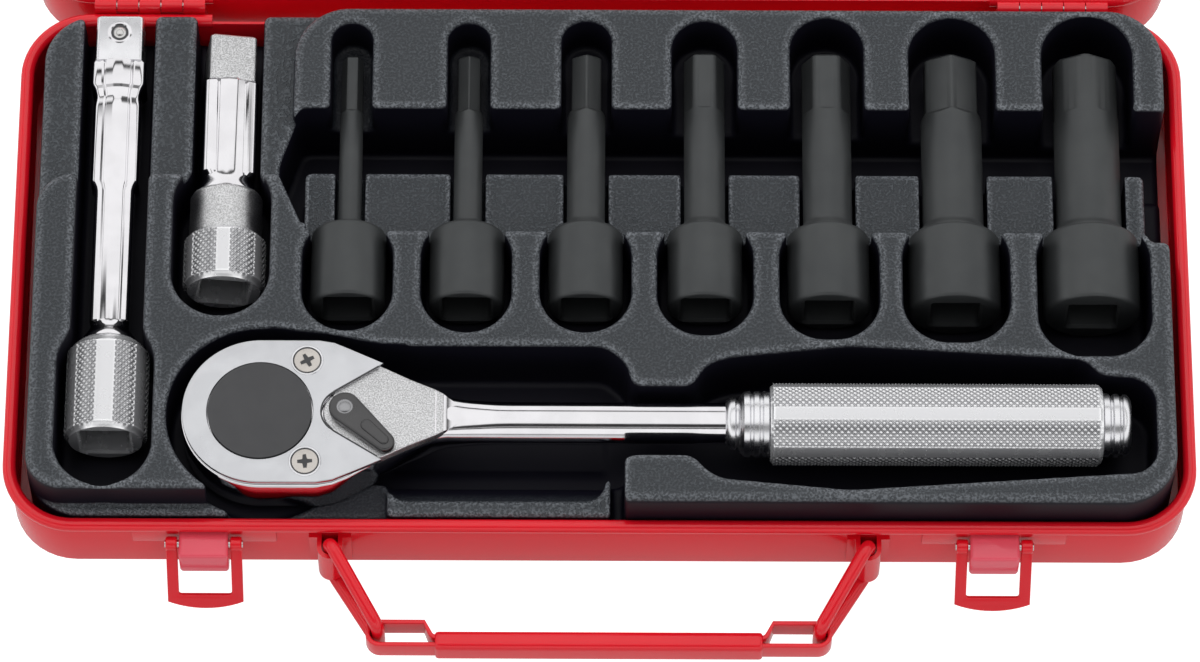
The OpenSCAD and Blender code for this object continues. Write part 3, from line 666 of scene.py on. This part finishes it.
def make_link(side):
    """Closed wire loop: a tall leg in the staple, a short one in the band."""
    low, high = box_mm(f"handle_link_{side}")
    s = -1 if side == "left" else 1
    staple = np.array((s * 70.9, high[1] - WIRE_R))
    grip = np.array(((high if s < 0 else low)[0] + s * WIRE_R, low[1] + WIRE_R))
    arm_low, arm_high, arm_grip = low[2] + WIRE_R, high[2] - WIRE_R, 13.3
    corners = [(*staple, arm_low), (*staple, arm_high), (*grip, arm_grip), (*grip, arm_low)]
    across = np.array((*(grip - staple), 0.0))
    plane = np.cross(across / np.linalg.norm(across), (0, 0, 1))
    path = rounded_path(corners, 3.2, 7, True)
    wire = sweep(path, round_section(WIRE_R), plane, True)
    node = f"handle_link_{side}"
    make_piece(f"{node}_wire", [(*wire, RED)], f"link_{side}", [node])


def make_grip():
    """Strip folded into a long loop, with a channel folded over its middle."""
    low, high = box_mm("handle_band")
    cover_low, cover_high = box_mm("handle_cover")
    strip_t = 1.2
    front, back = low[1] + strip_t / 2, high[1] - strip_t / 2
    end, cover_x = high[0] - strip_t / 2, cover_high[0]
    pinch = cover_high[1] - 0.95 - strip_t / 2
    turn_r = (back - front) / 2
    half = [(cover_x, front)]
    half += arc((end - turn_r, (front + back) / 2), turn_r, -90, 90, 14)
    half += rounded_path([(cover_x + 2.9, back), (cover_x + 0.9, pinch), (cover_x - 6, pinch)], 1.2, 4)
    path = half + [(-x, y) for x, y in reversed(half)]
    section = strip_section(strip_t, low[2], high[2], 0.35)
    band = sweep([(x, y, 0) for x, y in path], section, (0, 0, 1), True)
    make_piece("handle_band_strip", [(*band, RED)], "grip", ["handle_band"])

    depth, rise = cover_high[1] - cover_low[1], cover_high[2] - cover_low[2]
    middle_y, middle_z = (cover_low[1] + cover_high[1]) / 2, (cover_low[2] + cover_high[2]) / 2
    rings = []
    ease = 1.9
    entry = [(-1, 0.5), (-0.992, 0.12), (-0.98, 0)]
    middle = [(t, 0) for t in np.linspace(-0.9, 0.9, 19)]
    for x, inset in entry + middle + [(-t, inset) for t, inset in reversed(entry)]:
        outline = rounded_rect(depth / 2 - inset, rise / 2 - inset, ease - inset, 7)
        rings.append([(x * cover_x, middle_y + y, middle_z + z) for y, z in outline])
    cover = loft(rings)
    make_piece("handle_cover_channel", [(*cover, RED)], "grip", ["handle_cover"])


# ------------ tray

BITS = ["05", "06", "08", "10", "12", "14", "17"]
BIT_HEX = [5, 6, 8, 10, 12, 14, 17]
BIT_SHANK = [6.2, 7.6, 10.2, 11, 13.2, 16.4, 17.6]
BIT_CORNER_UP = [0, 1, 1, 0, 0, 1, 1]
SLOT_W = [11, 11.4, 13.4, 17.5, 19.7, 23.2, 24.4]
SLOT_END = [68.1, 68.2, 69, 69.1, 70.2, 70.3, 71]
WELL_W = [24, 24, 24.2, 25.4, 26.4, 28.4, 30]
WELL_END = [-23.8, -24.2, -24.1, -24.8, -25.9, -26.6, -30.5]
TRAY_TOP, COLUMN_TOP, SHELF_TOP, STEP_TOP = 36.0, 31.0, 28.0, 25.0


class Carving:
    """Plastic held as distances on a grid, to which slabs are added and from which pockets are cut."""

    def __init__(self, low, high, cell):
        self.low, self.cell = np.array(low), cell
        counts = np.ceil((np.array(high) - self.low) / cell).astype(int) + 1
        self.axes = [self.low[k] + cell * np.arange(counts[k]) for k in range(3)]
        self.field = np.full(counts, 50.0, np.float32)

    def window(self, x0, x1, y0, y1, reach=4.0):
        limits = [(x0, x1), (y0, y1)]
        spans = []
        for axis, (low, high) in zip(self.axes, limits):
            spans.append(slice(*np.searchsorted(axis, (low - reach, high + reach))))
        across = self.axes[0][spans[0]][:, None]
        along = self.axes[1][spans[1]][None, :]
        return spans, across, along

    def add(self, plan, x0, x1, y0, y1, top, ease):
        """Unites a slab of the given plan, rounded along its top edge."""
        spans, across, along = self.window(x0, x1, y0, y1)
        flat = plan(across, along)[:, :, None]
        slab = round_max(flat, (self.axes[2] - top)[None, None, :], ease)
        self.field[spans[0], spans[1]] = np.minimum(self.field[spans[0], spans[1]], slab)

    def cut(self, plan, x0, x1, y0, y1, floor, ease=1.6, floor_ease=1.5):
        """Cuts a pocket of the given plan from above. floor is a height, or a slope as a function of y."""
        spans, across, along = self.window(x0, x1, y0, y1)
        flat = plan(across, along)[:, :, None]
        if callable(floor):
            floor = floor(along)[:, :, None]
        pocket = round_max(flat, floor - self.axes[2][None, None, :], floor_ease)
        self.field[spans[0], spans[1]] = round_max(self.field[spans[0], spans[1]], -pocket, ease)

    def mesh(self):
        grid = openvdb.FloatGrid(background=50.0)
        grid.copyFromArray(self.field)
        points, triangles, quads = grid.convertToPolygons(isovalue=0.0, adaptivity=0.0)
        return points * self.cell + self.low, [*map(tuple, triangles), *map(tuple, quads)]


def round_max(a, b, radius):
    """The overlap of two distance fields, with its edge rounded."""
    over_a, over_b = np.maximum(a + radius, 0), np.maximum(b + radius, 0)
    inside = np.minimum(np.maximum(a, b), -radius)
    return (inside + np.sqrt(over_a * over_a + over_b * over_b)).astype(np.float32)


def box_plan(x0, x1, y0, y1, radius):
    """Distance to a rounded rectangle in plan, as a function of x and y."""
    def distance(x, y):
        dx = abs(x - (x0 + x1) / 2) - (x1 - x0) / 2 + radius
        dy = abs(y - (y0 + y1) / 2) - (y1 - y0) / 2 + radius
        outside = np.hypot(np.maximum(dx, 0), np.maximum(dy, 0))
        return outside + np.minimum(np.maximum(dx, dy), 0) - radius
    return distance


def polygon_plan(points, radius):
    """Distance to a polygon whose corners are rounded."""
    points = np.array([tuple(p) for p in rounded_path(points, radius, 4, True)])

    def distance(x, y):
        nearest = np.full(np.broadcast(x, y).shape, 1e9)
        inside = np.zeros(nearest.shape, bool)
        for (ax, ay), (bx, by) in zip(points, np.roll(points, -1, 0)):
            ex, ey = bx - ax, by - ay
            t = np.clip(((x - ax) * ex + (y - ay) * ey) / (ex * ex + ey * ey), 0, 1)
            nearest = np.minimum(nearest, np.hypot(x - ax - t * ex, y - ay - t * ey))
            if ay != by:
                crosses = (ay > y) != (by > y)
                inside ^= crosses & (x < ax + (y - ay) * ex / ey)
        return np.where(inside, -nearest, nearest)
    return distance


def make_tray():
    low, high = box_mm("insert_tray")
    block = Carving((low[0] - 2, low[1] - 2, -1.0), (high[0] + 2, high[1] + 2, 39.0), 0.6)
    front, back, left, right = low[1], high[1], low[0], high[0]

    def slab(x0, x1, y0, y1, radius, top, ease=2.0):
        block.add(box_plan(x0, x1, y0, y1, radius), x0, x1, y0, y1, top, ease)

    def pocket(x0, x1, y0, y1, radius, floor, ease=1.8, floor_ease=1.5):
        block.cut(box_plan(x0, x1, y0, y1, radius), x0, x1, y0, y1, floor, ease, floor_ease)

    long_x, short_x = centre_mm("long_bar")[0], centre_mm("short_bar")[0]
    gear_x, ratchet_y = joint_mm("drive_turn")[:2]
    step_y = 22.6
    slab(left, right, front, back, 15, STEP_TOP)
    slab(left + 0.4, -60, 0, back, 14, COLUMN_TOP)
    slab(left + 0.4, -60, front + 3.2, step_y, 10, TRAY_TOP)
    slab(-82.8, right, front, back, 15, TRAY_TOP)

    # the bars: a shank groove and the wider well of each knurled end
    pocket(long_x - 9.5, long_x + 9.5, -40, back + 20, 3, 14)
    pocket(long_x - 12.8, long_x + 12.8, -68.8, -21, 12.7, 12)
    pocket(short_x - 9, short_x + 9, 10, back + 20, 3, 14)
    pocket(short_x - 13.5, short_x + 12.5, -19.5, 27, 12.9, 12)
    # finger trench and shelf
    shelf_x = -79.3
    trench = [(-81.2, 42.1), (right + 20, 42.1), (right + 20, 26.6), (shelf_x, 26.6), (shelf_x, 6.5),
              (-86, 22), (-86.2, 27)]
    pocket(shelf_x + 0.8, 148, 5.6, 30, 1, SHELF_TOP, 1.5)
    block.cut(polygon_plan(trench, 2.5), -86.5, right + 20, 6, 42.1, 8, 1.4)
    pocket(146, right + 20, 3, 36, 2, 12)
    # the bits' slots, shank grooves and wells
    for k, name in enumerate(BITS):
        bit_low, bit_high = box_mm(f"hex_bit_{name}")
        x, radius = (bit_low[0] + bit_high[0]) / 2, (bit_high[0] - bit_low[0]) / 2
        axis = bit_high[2] - radius
        slot_r, well_r, shank_r = SLOT_W[k] / 2, WELL_W[k] / 2, BIT_SHANK[k] / 2 + 0.8
        pocket(x - slot_r, x + slot_r, 34, SLOT_END[k], slot_r - 0.1, axis - BIT_HEX[k] / 2 - 3)
        pocket(x - shank_r, x + shank_r, 2, 32, 1, axis - shank_r, 0.8)
        pocket(x - well_r, x + well_r, WELL_END[k], 9.6, min(well_r, 12) - 0.1, axis - radius - 0.6)
    # the ratchet: head, drive, neck and grip
    head = 24.6
    pocket(gear_x - head, gear_x + head, ratchet_y - head, ratchet_y + head, head - 0.1, 19)
    shoulder = [
        (gear_x, ratchet_y + head), (-72, ratchet_y + 23.4), (-56, -28.6), (-50, -28.6), (-50, -62),
        (gear_x, -62)]
    block.cut(polygon_plan(shoulder, 4), gear_x, -50, -62, -24, 19)
    well = [
        (-72, -28.6), (1.3, -28.6), (7, -33.5), (8.5, -40), (24.5, -40), (28, -33.8), (34, -31.6),
        (66, -28.2), (128, -31.7), (131.8, -36.4), (142.3, -37.2), (146.3, -41.5), (146.3, -60),
        (142.5, -64.3), (65.5, -69.6), (32, -66.4), (28, -64), (24.5, -59.7), (8.5, -59.7), (4, -62),
        (-60, -62)]
    block.cut(polygon_plan(well, 3), -72, 146.3, -69.6, -28.2, 13)
    # the low front beside the ratchet: a step, a sloping bowl behind it and a gap at its right end
    pocket(-97, -56, -95, -48, 3, STEP_TOP - 3)
    pocket(-57, 4, -95, -58, 1, STEP_TOP)
    pocket(3, 6.6, -95, -58, 0.8, STEP_TOP - 7, 1.0)

    def bowl_floor(y):
        return np.clip(STEP_TOP - 1.5 - (y + 68.5) * 0.8, 12, 40)

    block.cut(box_plan(-56, 1.5, -68.5, -40, 6), -56, 1.5, -68.5, -40, bowl_floor)
    vertices, faces = block.mesh()
    make_piece("tray_moulding", [(vertices, faces, TRAY)], "case", ["insert_tray"], 180)


# ------------ shared tool forms

SIDES = 120
KNURL_PITCH = 1.7
KNURL_FINE = 6


def knurl_sides(radius):
    """Sides of a knurled form: a whole number for each ridge, so that the diamonds stay even."""
    return KNURL_FINE * round(2 * math.pi * radius / KNURL_PITCH)


def knurl(row, radius, depth, bands, smooth_share, turn):
    """Radii at one row of a diamond knurl that is broken by smooth bands."""
    sides = knurl_sides(radius)
    around, along = np.arange(sides) / KNURL_FINE, row / KNURL_FINE

    def ridge(t):
        return 1 - abs(2 * (t % 1) - 1)

    height = np.minimum(ridge(around + along), ridge(around - along))
    step = 2 * math.pi / bands
    from_band = abs((angles(sides) - math.radians(turn) + step / 2) % step - step / 2)
    smooth = from_band < smooth_share * step / 2
    return np.where(smooth, radius - 0.4 * depth, radius - depth * (1 - height))


def knurled(start, end, radius, bands, smooth_share, turn):
    """Stations of a knurled stretch with plain bevelled ends."""
    depth = 0.55
    inner = radius - depth
    rows = int((end - start - 1.6) * KNURL_FINE / KNURL_PITCH)
    stations = [(start, inner - 0.5), (start + 0.6, inner)]
    for row in range(rows + 1):
        y = start + 0.8 + row * KNURL_PITCH / KNURL_FINE
        stations.append((y, knurl(row, radius, depth, bands, smooth_share, turn)))
    stations += [(end - 0.6, inner), (end, inner - 0.5)]
    return stations


def drive_mouth(sides, outer):
    """Stations of a square drive opening, from its bottom out to the end face."""
    opening = flats(sides, 4, 6.5, math.pi / 4, 0.93)
    flare = flats(sides, 4, 7.2, math.pi / 4, 0.93)
    return [(16.5, 0.02), (16.4, 5.4), (15, 5.5), (14.9, opening), (0.8, opening), (0, flare), (0, outer)]


def eased(start, end, steps=6):
    """Stations between two (y, radius) pairs on a soft S-shaped line."""
    result = []
    for t in np.linspace(0, 1, steps + 1):
        s = t * t * (3 - 2 * t)
        result.append((start[0] + t * (end[0] - start[0]), start[1] + s * (end[1] - start[1])))
    return result


# ------------ extension bars

SQUARE = 12.7
SQUARE_L = 13.4


def square_block(start, end, side):
    """The drive square along +Y, with eased corners and a bevelled end."""
    stations = [(start, 0.0), (end - 1.1, 0.0), (end - 0.7, 0.15), (end - 0.3, 0.55), (end, 1.1)]
    rings = []
    for y, inset in stations:
        outline = rounded_rect(side / 2 - inset, side / 2 - inset, 1.0, 5)
        rings.append([(u, y, w) for u, w in outline])
    return loft(rings)


def ball_seat(axis_point):
    """Round rim of the hole that holds the ball on the square's face."""
    rim = [(2.2, -0.3), (2.35, 0.0), (2.6, 0.16), (3.0, 0.16), (3.3, 0.0), (3.3, -0.3)]
    ring = [[(r * math.sin(a), r * math.cos(a), h) for r, h in rim] for a in angles(36)]
    return moved(loft(ring, True), Matrix.Translation(axis_point))


def fluted(radius):
    """Radii of a forged shank: a flat panel on top between grooves, leaning shoulders, upright sides."""
    angle = angles(SIDES)
    widest = 1.18 * radius
    result = np.full(SIDES, widest)
    faces = [(0, 0.97), (15, 0.975), (90, 1.0), (165, 0.975), (180, 0.97)]
    for normal, reach in faces:
        for sign in (-1, 1):
            lean = np.cos(angle - sign * math.radians(normal))
            result = np.minimum(result, np.where(lean > 0.2, reach * radius / np.maximum(lean, 0.2), widest))
    offset = abs(result * np.sin(angle)) / radius
    groove = (abs(offset - 0.52) < 0.05) & (np.cos(angle) > 0)
    return np.where(groove, 0.93 * result, result)


def bar_sleeve(name, knurl_l, smooth_share, turn):
    """Where a bar's near end is, its length, its knurl's radius and its sleeve's stations."""
    low, high = box_mm(name)
    x, z = centre_mm(name)[[0, 2]]
    knurl_r = (high[0] - low[0]) / 2
    sleeve = drive_mouth(knurl_sides(knurl_r), knurl_r - 1.4)
    sleeve += knurled(0.5, knurl_l, knurl_r, 6, smooth_share, turn)
    return (x, low[1], z), high[1] - low[1], knurl_r, sleeve


def make_long_bar():
    knurl_l = 26.0
    near, length, knurl_r, sleeve = bar_sleeve("long_bar", knurl_l, 0.46, 0)
    where = place(*near)
    sleeve += [(knurl_l + 0.6, knurl_r - 1.3), (knurl_l + 2.2, 8.0), (knurl_l + 3.2, 4)]
    square_y = length - SQUARE_L
    slim, thick, collar = 5.2, 6.35, 7.3
    shank = [(knurl_l + 1, 7.2), *eased((knurl_l + 2, 7.6), (knurl_l + 7.5, slim), 8)]
    shank += [(knurl_l + 8, fluted(slim)), (72.5, fluted(slim))]
    shank += [(73.5, fluted(slim + 0.35)), (75.0, fluted(thick))]
    shank += [(y, fluted(r)) for y, r in eased((97.5, thick), (101, 6.0), 4)]
    shank += [(y, fluted(r)) for y, r in eased((101.8, 6.2), (104.6, collar), 5)]
    shank += [(square_y - 0.9, fluted(collar)), (square_y - 0.3, fluted(collar - 0.3)),
              (square_y, fluted(collar - 1.0))]
    parts = [spun(sleeve, knurl_sides(knurl_r), where, KNURLED), spun(shank, SIDES, where, CHROME)]
    parts.append((*moved(square_block(square_y - 0.5, length, SQUARE), where), SATIN))
    ball = centre_mm("long_bar_ball")
    seat = (ball[0], ball[1], near[2] + SQUARE / 2)
    parts.append((*ball_seat(seat), CHROME))
    # A dark ring round the ball stands where the gap lies in shade: painted shade.
    gap = [(0.02, 2.35), (0.03, 1.7)]
    parts.append(spun(gap, 36, Matrix.Translation(seat) @ UPRIGHT, DISC_AND_SHADE))
    make_piece("long_bar_turned", parts, "long_bar", ["long_bar"], 28)


def make_short_bar():
    knurl_l, collar_l = 15.0, 28.0
    near, length, knurl_r, sleeve = bar_sleeve("short_bar", knurl_l, 0.34, -10)
    where = place(*near, 10, "Y")
    sleeve += [(knurl_l + 0.2, 5)]
    collar = [(knurl_l - 1, 6), (knurl_l - 0.1, 9.3), (knurl_l + 0.3, 9.7), (collar_l - 0.9, 9.7),
              (collar_l - 0.2, 9.3), (collar_l, 8.6), (collar_l + 0.1, 5)]
    square_y = length - SQUARE_L
    shank = [(collar_l - 1, 8), *eased((collar_l - 0.5, 8.6), (collar_l + 4.5, 7.3), 7)]
    shank += [(collar_l + 5.5, fluted(7.3)), (square_y - 0.9, fluted(7.3)), (square_y - 0.2, fluted(6.9)),
              (square_y, 5.5)]
    parts = [spun(sleeve, knurl_sides(knurl_r), where, KNURLED), spun(collar, SIDES, where, BLASTED)]
    parts.append(spun(shank, SIDES, where, CHROME))
    parts.append((*moved(square_block(square_y - 0.6, length, SQUARE), where), BLASTED))
    make_piece("short_bar_turned", parts, "short_bar", ["short_bar"], 28)


# ------------ hex bits

def make_bit(k):
    name = f"hex_bit_{BITS[k]}"
    low, high = box_mm(name)
    radius = (high[0] - low[0]) / 2
    x, z = (low[0] + high[0]) / 2, high[2] - radius
    length = high[1] - low[1]
    body_l, hex_l, ease = 22.4, 16.4, 1.8
    shank = BIT_SHANK[k] / 2
    corner = 0.0 if BIT_CORNER_UP[k] else math.pi / 6
    hexagon = flats(SIDES, 6, BIT_HEX[k] / 2, corner, 0.985)
    profile = drive_mouth(SIDES, radius - 0.9)
    profile += [(0.25, radius - 0.35), (0.9, radius), (body_l - ease, radius)]
    profile += [(body_l - ease + ease * math.sin(a), radius - ease + ease * math.cos(a))
                for a in np.linspace(0.2, math.pi / 2, 8)]
    foot = min(radius - ease - 0.3, shank + 1.8)
    profile += [(body_l + 0.05, foot), *eased((body_l + 0.1, foot), (body_l + 3.5, shank), 7)]
    hex_start = length - hex_l
    profile += [(hex_start - 3.2, shank)]
    for back in np.arange(3.0, -0.01, -0.25):
        profile.append((hex_start - back, np.minimum(shank, hexagon + back * 0.9)))
    chamfer = 0.45 + 0.03 * BIT_HEX[k]
    tip = flats(SIDES, 6, BIT_HEX[k] / 2 - chamfer, corner, 0.95)
    profile += [(length - chamfer, np.minimum(hexagon, shank)), (length, np.minimum(tip, shank))]
    part = spun(profile, SIDES, place(x, low[1], z), OXIDE)
    make_piece(f"{name}_turned", [part], f"bit_{BITS[k]}", [name])


# ------------ ratchet

GEAR_X, RATCHET_Y = joint_mm("drive_turn")[:2]
LEVER_X = joint_mm("lever_swing")[0]
HEAD_LOW, HEAD_PLATE, HEAD_TOP = 22.0, 35.4, 37.0
NECK_Z = 29.5
NECK_X = -41.0
HEAD_R = 21.0


def head_edge(inset):
    """Upper side of the head's outline from the round end to the neck, as (x, distance from the axis)."""
    half = HEAD_R - inset
    return [(GEAR_X + 2, half), (-74, half), (-70, half - 0.7), (-65.9, half - 2.5), (-57.9, half - 7.3),
            (-50, half - 11.2), (-43, half - 14.2), (NECK_X, half - 15.3)]


def head_outline(inset, last):
    """The whole head, cut off at the neck. last keeps that many points of each side."""
    side = head_edge(inset)[:last]
    round_end = arc((GEAR_X, RATCHET_Y), HEAD_R - inset, 92, 268, 40)
    upper = [(x, RATCHET_Y + y) for x, y in reversed(side)]
    lower = [(x, RATCHET_Y - y) for x, y in side]
    return upper + round_end + lower


def cross_outline(reach, half, turn):
    """Outline of a cross recess, with waisted arms."""
    quarter = [(reach, -half * 0.8), (reach, half * 0.8), (half * 1.15, half * 1.15)]
    result = []
    for k in range(4):
        a = math.radians(90 * k + turn)
        c, s = math.cos(a), math.sin(a)
        result += [(x * c - y * s, x * s + y * c) for x, y in quarter]
    return result


def make_ratchet_body():
    """Forged head, neck of one piece with it, rings, and the knurled grip."""
    grip_tip = box_mm("ratchet_body")[1][0]
    parts = [(*plate([head_outline(0, 5)], HEAD_LOW, HEAD_PLATE, 0.9), CHROME)]
    bay = [(LEVER_X - 3.2, RATCHET_Y + 5.6), *arc((LEVER_X, RATCHET_Y), 5.8, 125, 235, 10),
           (LEVER_X - 3.2, RATCHET_Y - 5.6)]
    side = [(x, y) for x, y in head_edge(0.25) if x > -59]
    wedge = [(x, RATCHET_Y + y) for x, y in reversed(side)] + bay + [(x, RATCHET_Y - y) for x, y in side]
    parts.append((*plate([wedge], HEAD_PLATE - 2, HEAD_TOP - 0.7, 0.3), BLASTED))
    crest = [(-43.2, 6.2, 36.32), (-41.3, 5.5, 36.2), (-40.0, 4.7, 35.5), (-35.5, 1.6, 34.9)]
    rings = [[(x, RATCHET_Y - w, 31), (x, RATCHET_Y - w, z), (x, RATCHET_Y + w, z), (x, RATCHET_Y + w, 31)]
             for x, w, z in crest]
    parts.append((*loft(rings), CHROME))
    # the neck: a flat-sided section that turns round
    rings = []
    neck_r = 5.6
    for x in np.concatenate([np.linspace(-60, -30, 31), np.linspace(-27, 34, 22)]):
        half_w = np.interp(x, [-60, -57.9, -50, -43, -40, -34, -28],
                           [15.0, 13.4, 9.6, 6.7, 6.1, 5.75, neck_r])
        half_h = np.interp(x, [-60, -50, -44, -40, -34, -28], [6.6, 6.5, 6.4, 6.1, 5.7, neck_r])
        power = np.interp(x, [-60, -46, -36, -26], [0.30, 0.42, 0.8, 1.0])
        mid_z = np.interp(x, [-60, -44, -28], [29.3, 29.4, NECK_Z])
        a = angles(64)
        c, s = np.cos(a), np.sin(a)
        rings.append(np.stack([np.full(64, x), RATCHET_Y + half_w * np.sign(c) * abs(c) ** power,
                               mid_z + half_h * np.sign(s) * abs(s) ** power], 1))
    parts.append((*loft(rings), CHROME))
    # collar rings, grip and end rings, turned along +X
    along = Matrix.Translation((0, RATCHET_Y, NECK_Z)) @ Matrix.Rotation(math.radians(-90), 4, "Z")
    rings_in = [(33, 5.4), (33.6, 6.4), (34.6, 7.0), (35.6, 7.0), (36.0, 6.4), (36.5, 6.4),
                (37.0, 7.6), (37.5, 8.0), (38, 8.6), (39.4, 8.7), (39.8, 8.2), (40.3, 8.2),
                (40.7, 8.7), (41.9, 8.7), (42.3, 8.2), (42.8, 8.2), (43.2, 8.7), (44.5, 8.6),
                (45, 7.8), (46, 6)]
    rings_out = [(131, 6), (132.0, 7.2), (132.6, 8.35), (134.0, 8.35), (134.4, 7.7), (134.8, 7.7),
                 (135.2, 8.35), (136.5, 8.35), (136.9, 7.7), (137.3, 7.7), (137.7, 8.35), (138.6, 8.2),
                 (grip_tip - 0.4, 7.4), (grip_tip, 6.8)]
    for profile in (rings_in, rings_out):
        parts.append(spun(profile, SIDES, along, SATIN))
    grip_r = 10.9
    grip = knurled(44.9, 132.2, grip_r, 6, 0.35, 8)
    parts.append(spun(grip, knurl_sides(grip_r), along, KNURLED))
    make_piece("ratchet_forging", parts, "ratchet", ["ratchet_body"])


def make_cover_plate():
    """Ground plate over the works. It ends at the lever's bay in a sloping edge."""
    mouth_x, mouth_y = -57.0, 13.9
    knee_x, knee_y = LEVER_X - 3.0, 5.8
    boss = arc((LEVER_X, RATCHET_Y), 6.4, 240, 120, 12)
    bay = [(mouth_x, RATCHET_Y - mouth_y), (knee_x, RATCHET_Y - knee_y), *boss,
           (knee_x, RATCHET_Y + knee_y), (mouth_x, RATCHET_Y + mouth_y)]
    outline = head_outline(0.5, 4) + bay
    disc_hole = arc((GEAR_X, RATCHET_Y), 13.95, 0, 354, 59)
    top = plate([outline, disc_hole], HEAD_PLATE, HEAD_TOP, 0.22)
    inset = np.array((-1.3, 0.75))
    ends = [np.array(bay[0]) + inset, np.array(bay[-1]) + inset * (1, -1)]
    edge = [(*p, HEAD_TOP) for p in (ends[0], *bay[1:-1], ends[1])]
    slope = [(0.15, -0.28), (-0.1, -0.1), (-1.35, -0.55), (-1.4, -1.2), (0.15, -1.2)]
    parts = [(*top, GROUND), (*sweep(edge, slope, (0, 0, 1)), CHROME)]
    # Two thin dark strips along the sloping edge are painted shade in its gap lines.
    for near, far, rise in ((0.28, -0.05, 0.02), (-1.25, -1.6, -0.5)):
        line = [(near, rise - 0.3), (near, rise), (far, rise), (far, rise - 0.3)]
        parts.append((*sweep(edge, line, (0, 0, 1)), DISC_AND_SHADE))
    make_piece("ratchet_cover_ground", parts, "ratchet", ["ratchet_cover_plate"])


def make_screws():
    x = centre_mm("ratchet_cover_screws")[0]
    reach = 14.6
    head_r = 3.45
    parts = []
    for s, turn in ((-1, 4), (1, 28)):
        where = place(x, RATCHET_Y + s * reach, 0)
        outline = [arc((0, 0), head_r, 0, 352, 44), cross_outline(1.9, 0.5, turn)]
        parts.append((*moved(plate(outline, HEAD_TOP - 0.9, HEAD_TOP + 0.18, 0.16), where), SCREW))
        upright = where @ Matrix.Translation((0, 0, HEAD_TOP)) @ UPRIGHT
        # A dark disc at the bottom of the cross and a dark flat ring round the head are painted shade in the
        # recess and in the gap round the head.
        pit = [(-0.9, 2.4), (-0.75, 2.3)]
        groove = [(-0.6, 4.0), (0.012, 4.0), (0.012, 3.0)]
        parts += [spun(pit, 24, upright, DISC_AND_SHADE), spun(groove, 48, upright, DISC_AND_SHADE)]
        rim = [(3.75, -0.1), (3.8, 0.1), (3.95, 0.2), (4.15, 0.2), (4.3, 0.06), (4.35, -0.1)]
        ring = [[(r * math.cos(a), r * math.sin(a), HEAD_TOP + h) for r, h in rim] for a in angles(48)]
        parts.append((*moved(loft(ring, True), where), SATIN))
    make_piece("ratchet_cross_screws", parts, "ratchet", ["ratchet_cover_screws"])


def make_lever():
    rest = -43.0
    arm, hub_r, tip_r = 17.2, 4.2, 2.6
    low, high = HEAD_TOP + 0.4, HEAD_TOP + 3.0
    slant = math.degrees(math.asin((hub_r - tip_r) / (arm - tip_r)))
    outline = arc((0, 0), hub_r, 90 - slant, 270 + slant, 20)
    outline += arc((arm - tip_r, 0), tip_r, -90 + slant, 90 - slant, 12)
    blade = plate([outline], low, high, 0.7, 4)
    where = place(LEVER_X, RATCHET_Y, 0, rest)
    pad = arc((8.0, 0), 1.6, 90, 270, 8) + arc((arm - 3.0, 0), 1.35, -90, 90, 8)
    thumb = plate([pad], high - 0.9, high + 0.55, 0.5, 3)
    shaft = turned([(0, 2.4), (13.5, 2.4)], 32)
    upright = place(LEVER_X, RATCHET_Y, 24.2) @ UPRIGHT
    placed = ((blade, where), (thumb, where), (shaft, upright))
    parts = [(*moved(part, at), GLOSS_BLACK) for part, at in placed]
    make_piece("ratchet_lever_blade", parts, "lever", ["ratchet_reverse_lever"])
    dome = [(-2, 1.3), (2.4, 1.3), (2.41, 2.3), (2.7, 2.35), (3.1, 2.1), (3.4, 1.5), (3.58, 0.8),
            (3.64, 0.02)]
    rivet = spun(dome, 32, place(LEVER_X, RATCHET_Y, HEAD_TOP) @ UPRIGHT, RIVET)
    make_piece("ratchet_lever_dome", [rivet], "lever", ["ratchet_lever_rivet"])


# ------------ everything

def dress_frame():
    """Materials for the CAD nodes that stay."""
    looks = {"red_paint": RED, "tray_plastic": TRAY, "tool_chrome": CHROME, "black_oxide": OXIDE,
             "pin_steel": STEEL}
    for row in frame["record"]["subparts"]:
        materials = frame["nodes"][row["node"]].data.materials
        materials.clear()
        materials.append(DISC_AND_SHADE if row["node"] == "ratchet_drive_gear" else looks[row["material_slot"]])


dress_frame()
make_case()
for side in ("left", "right"):
    make_latch(side)
    make_link(side)
make_catches()
make_grip()
make_tray()
make_long_bar()
make_short_bar()
for k in range(len(BITS)):
    make_bit(k)
make_ratchet_body()
make_cover_plate()
make_screws()
make_lever()

bpy.context.scene.view_settings.view_transform = "Standard"
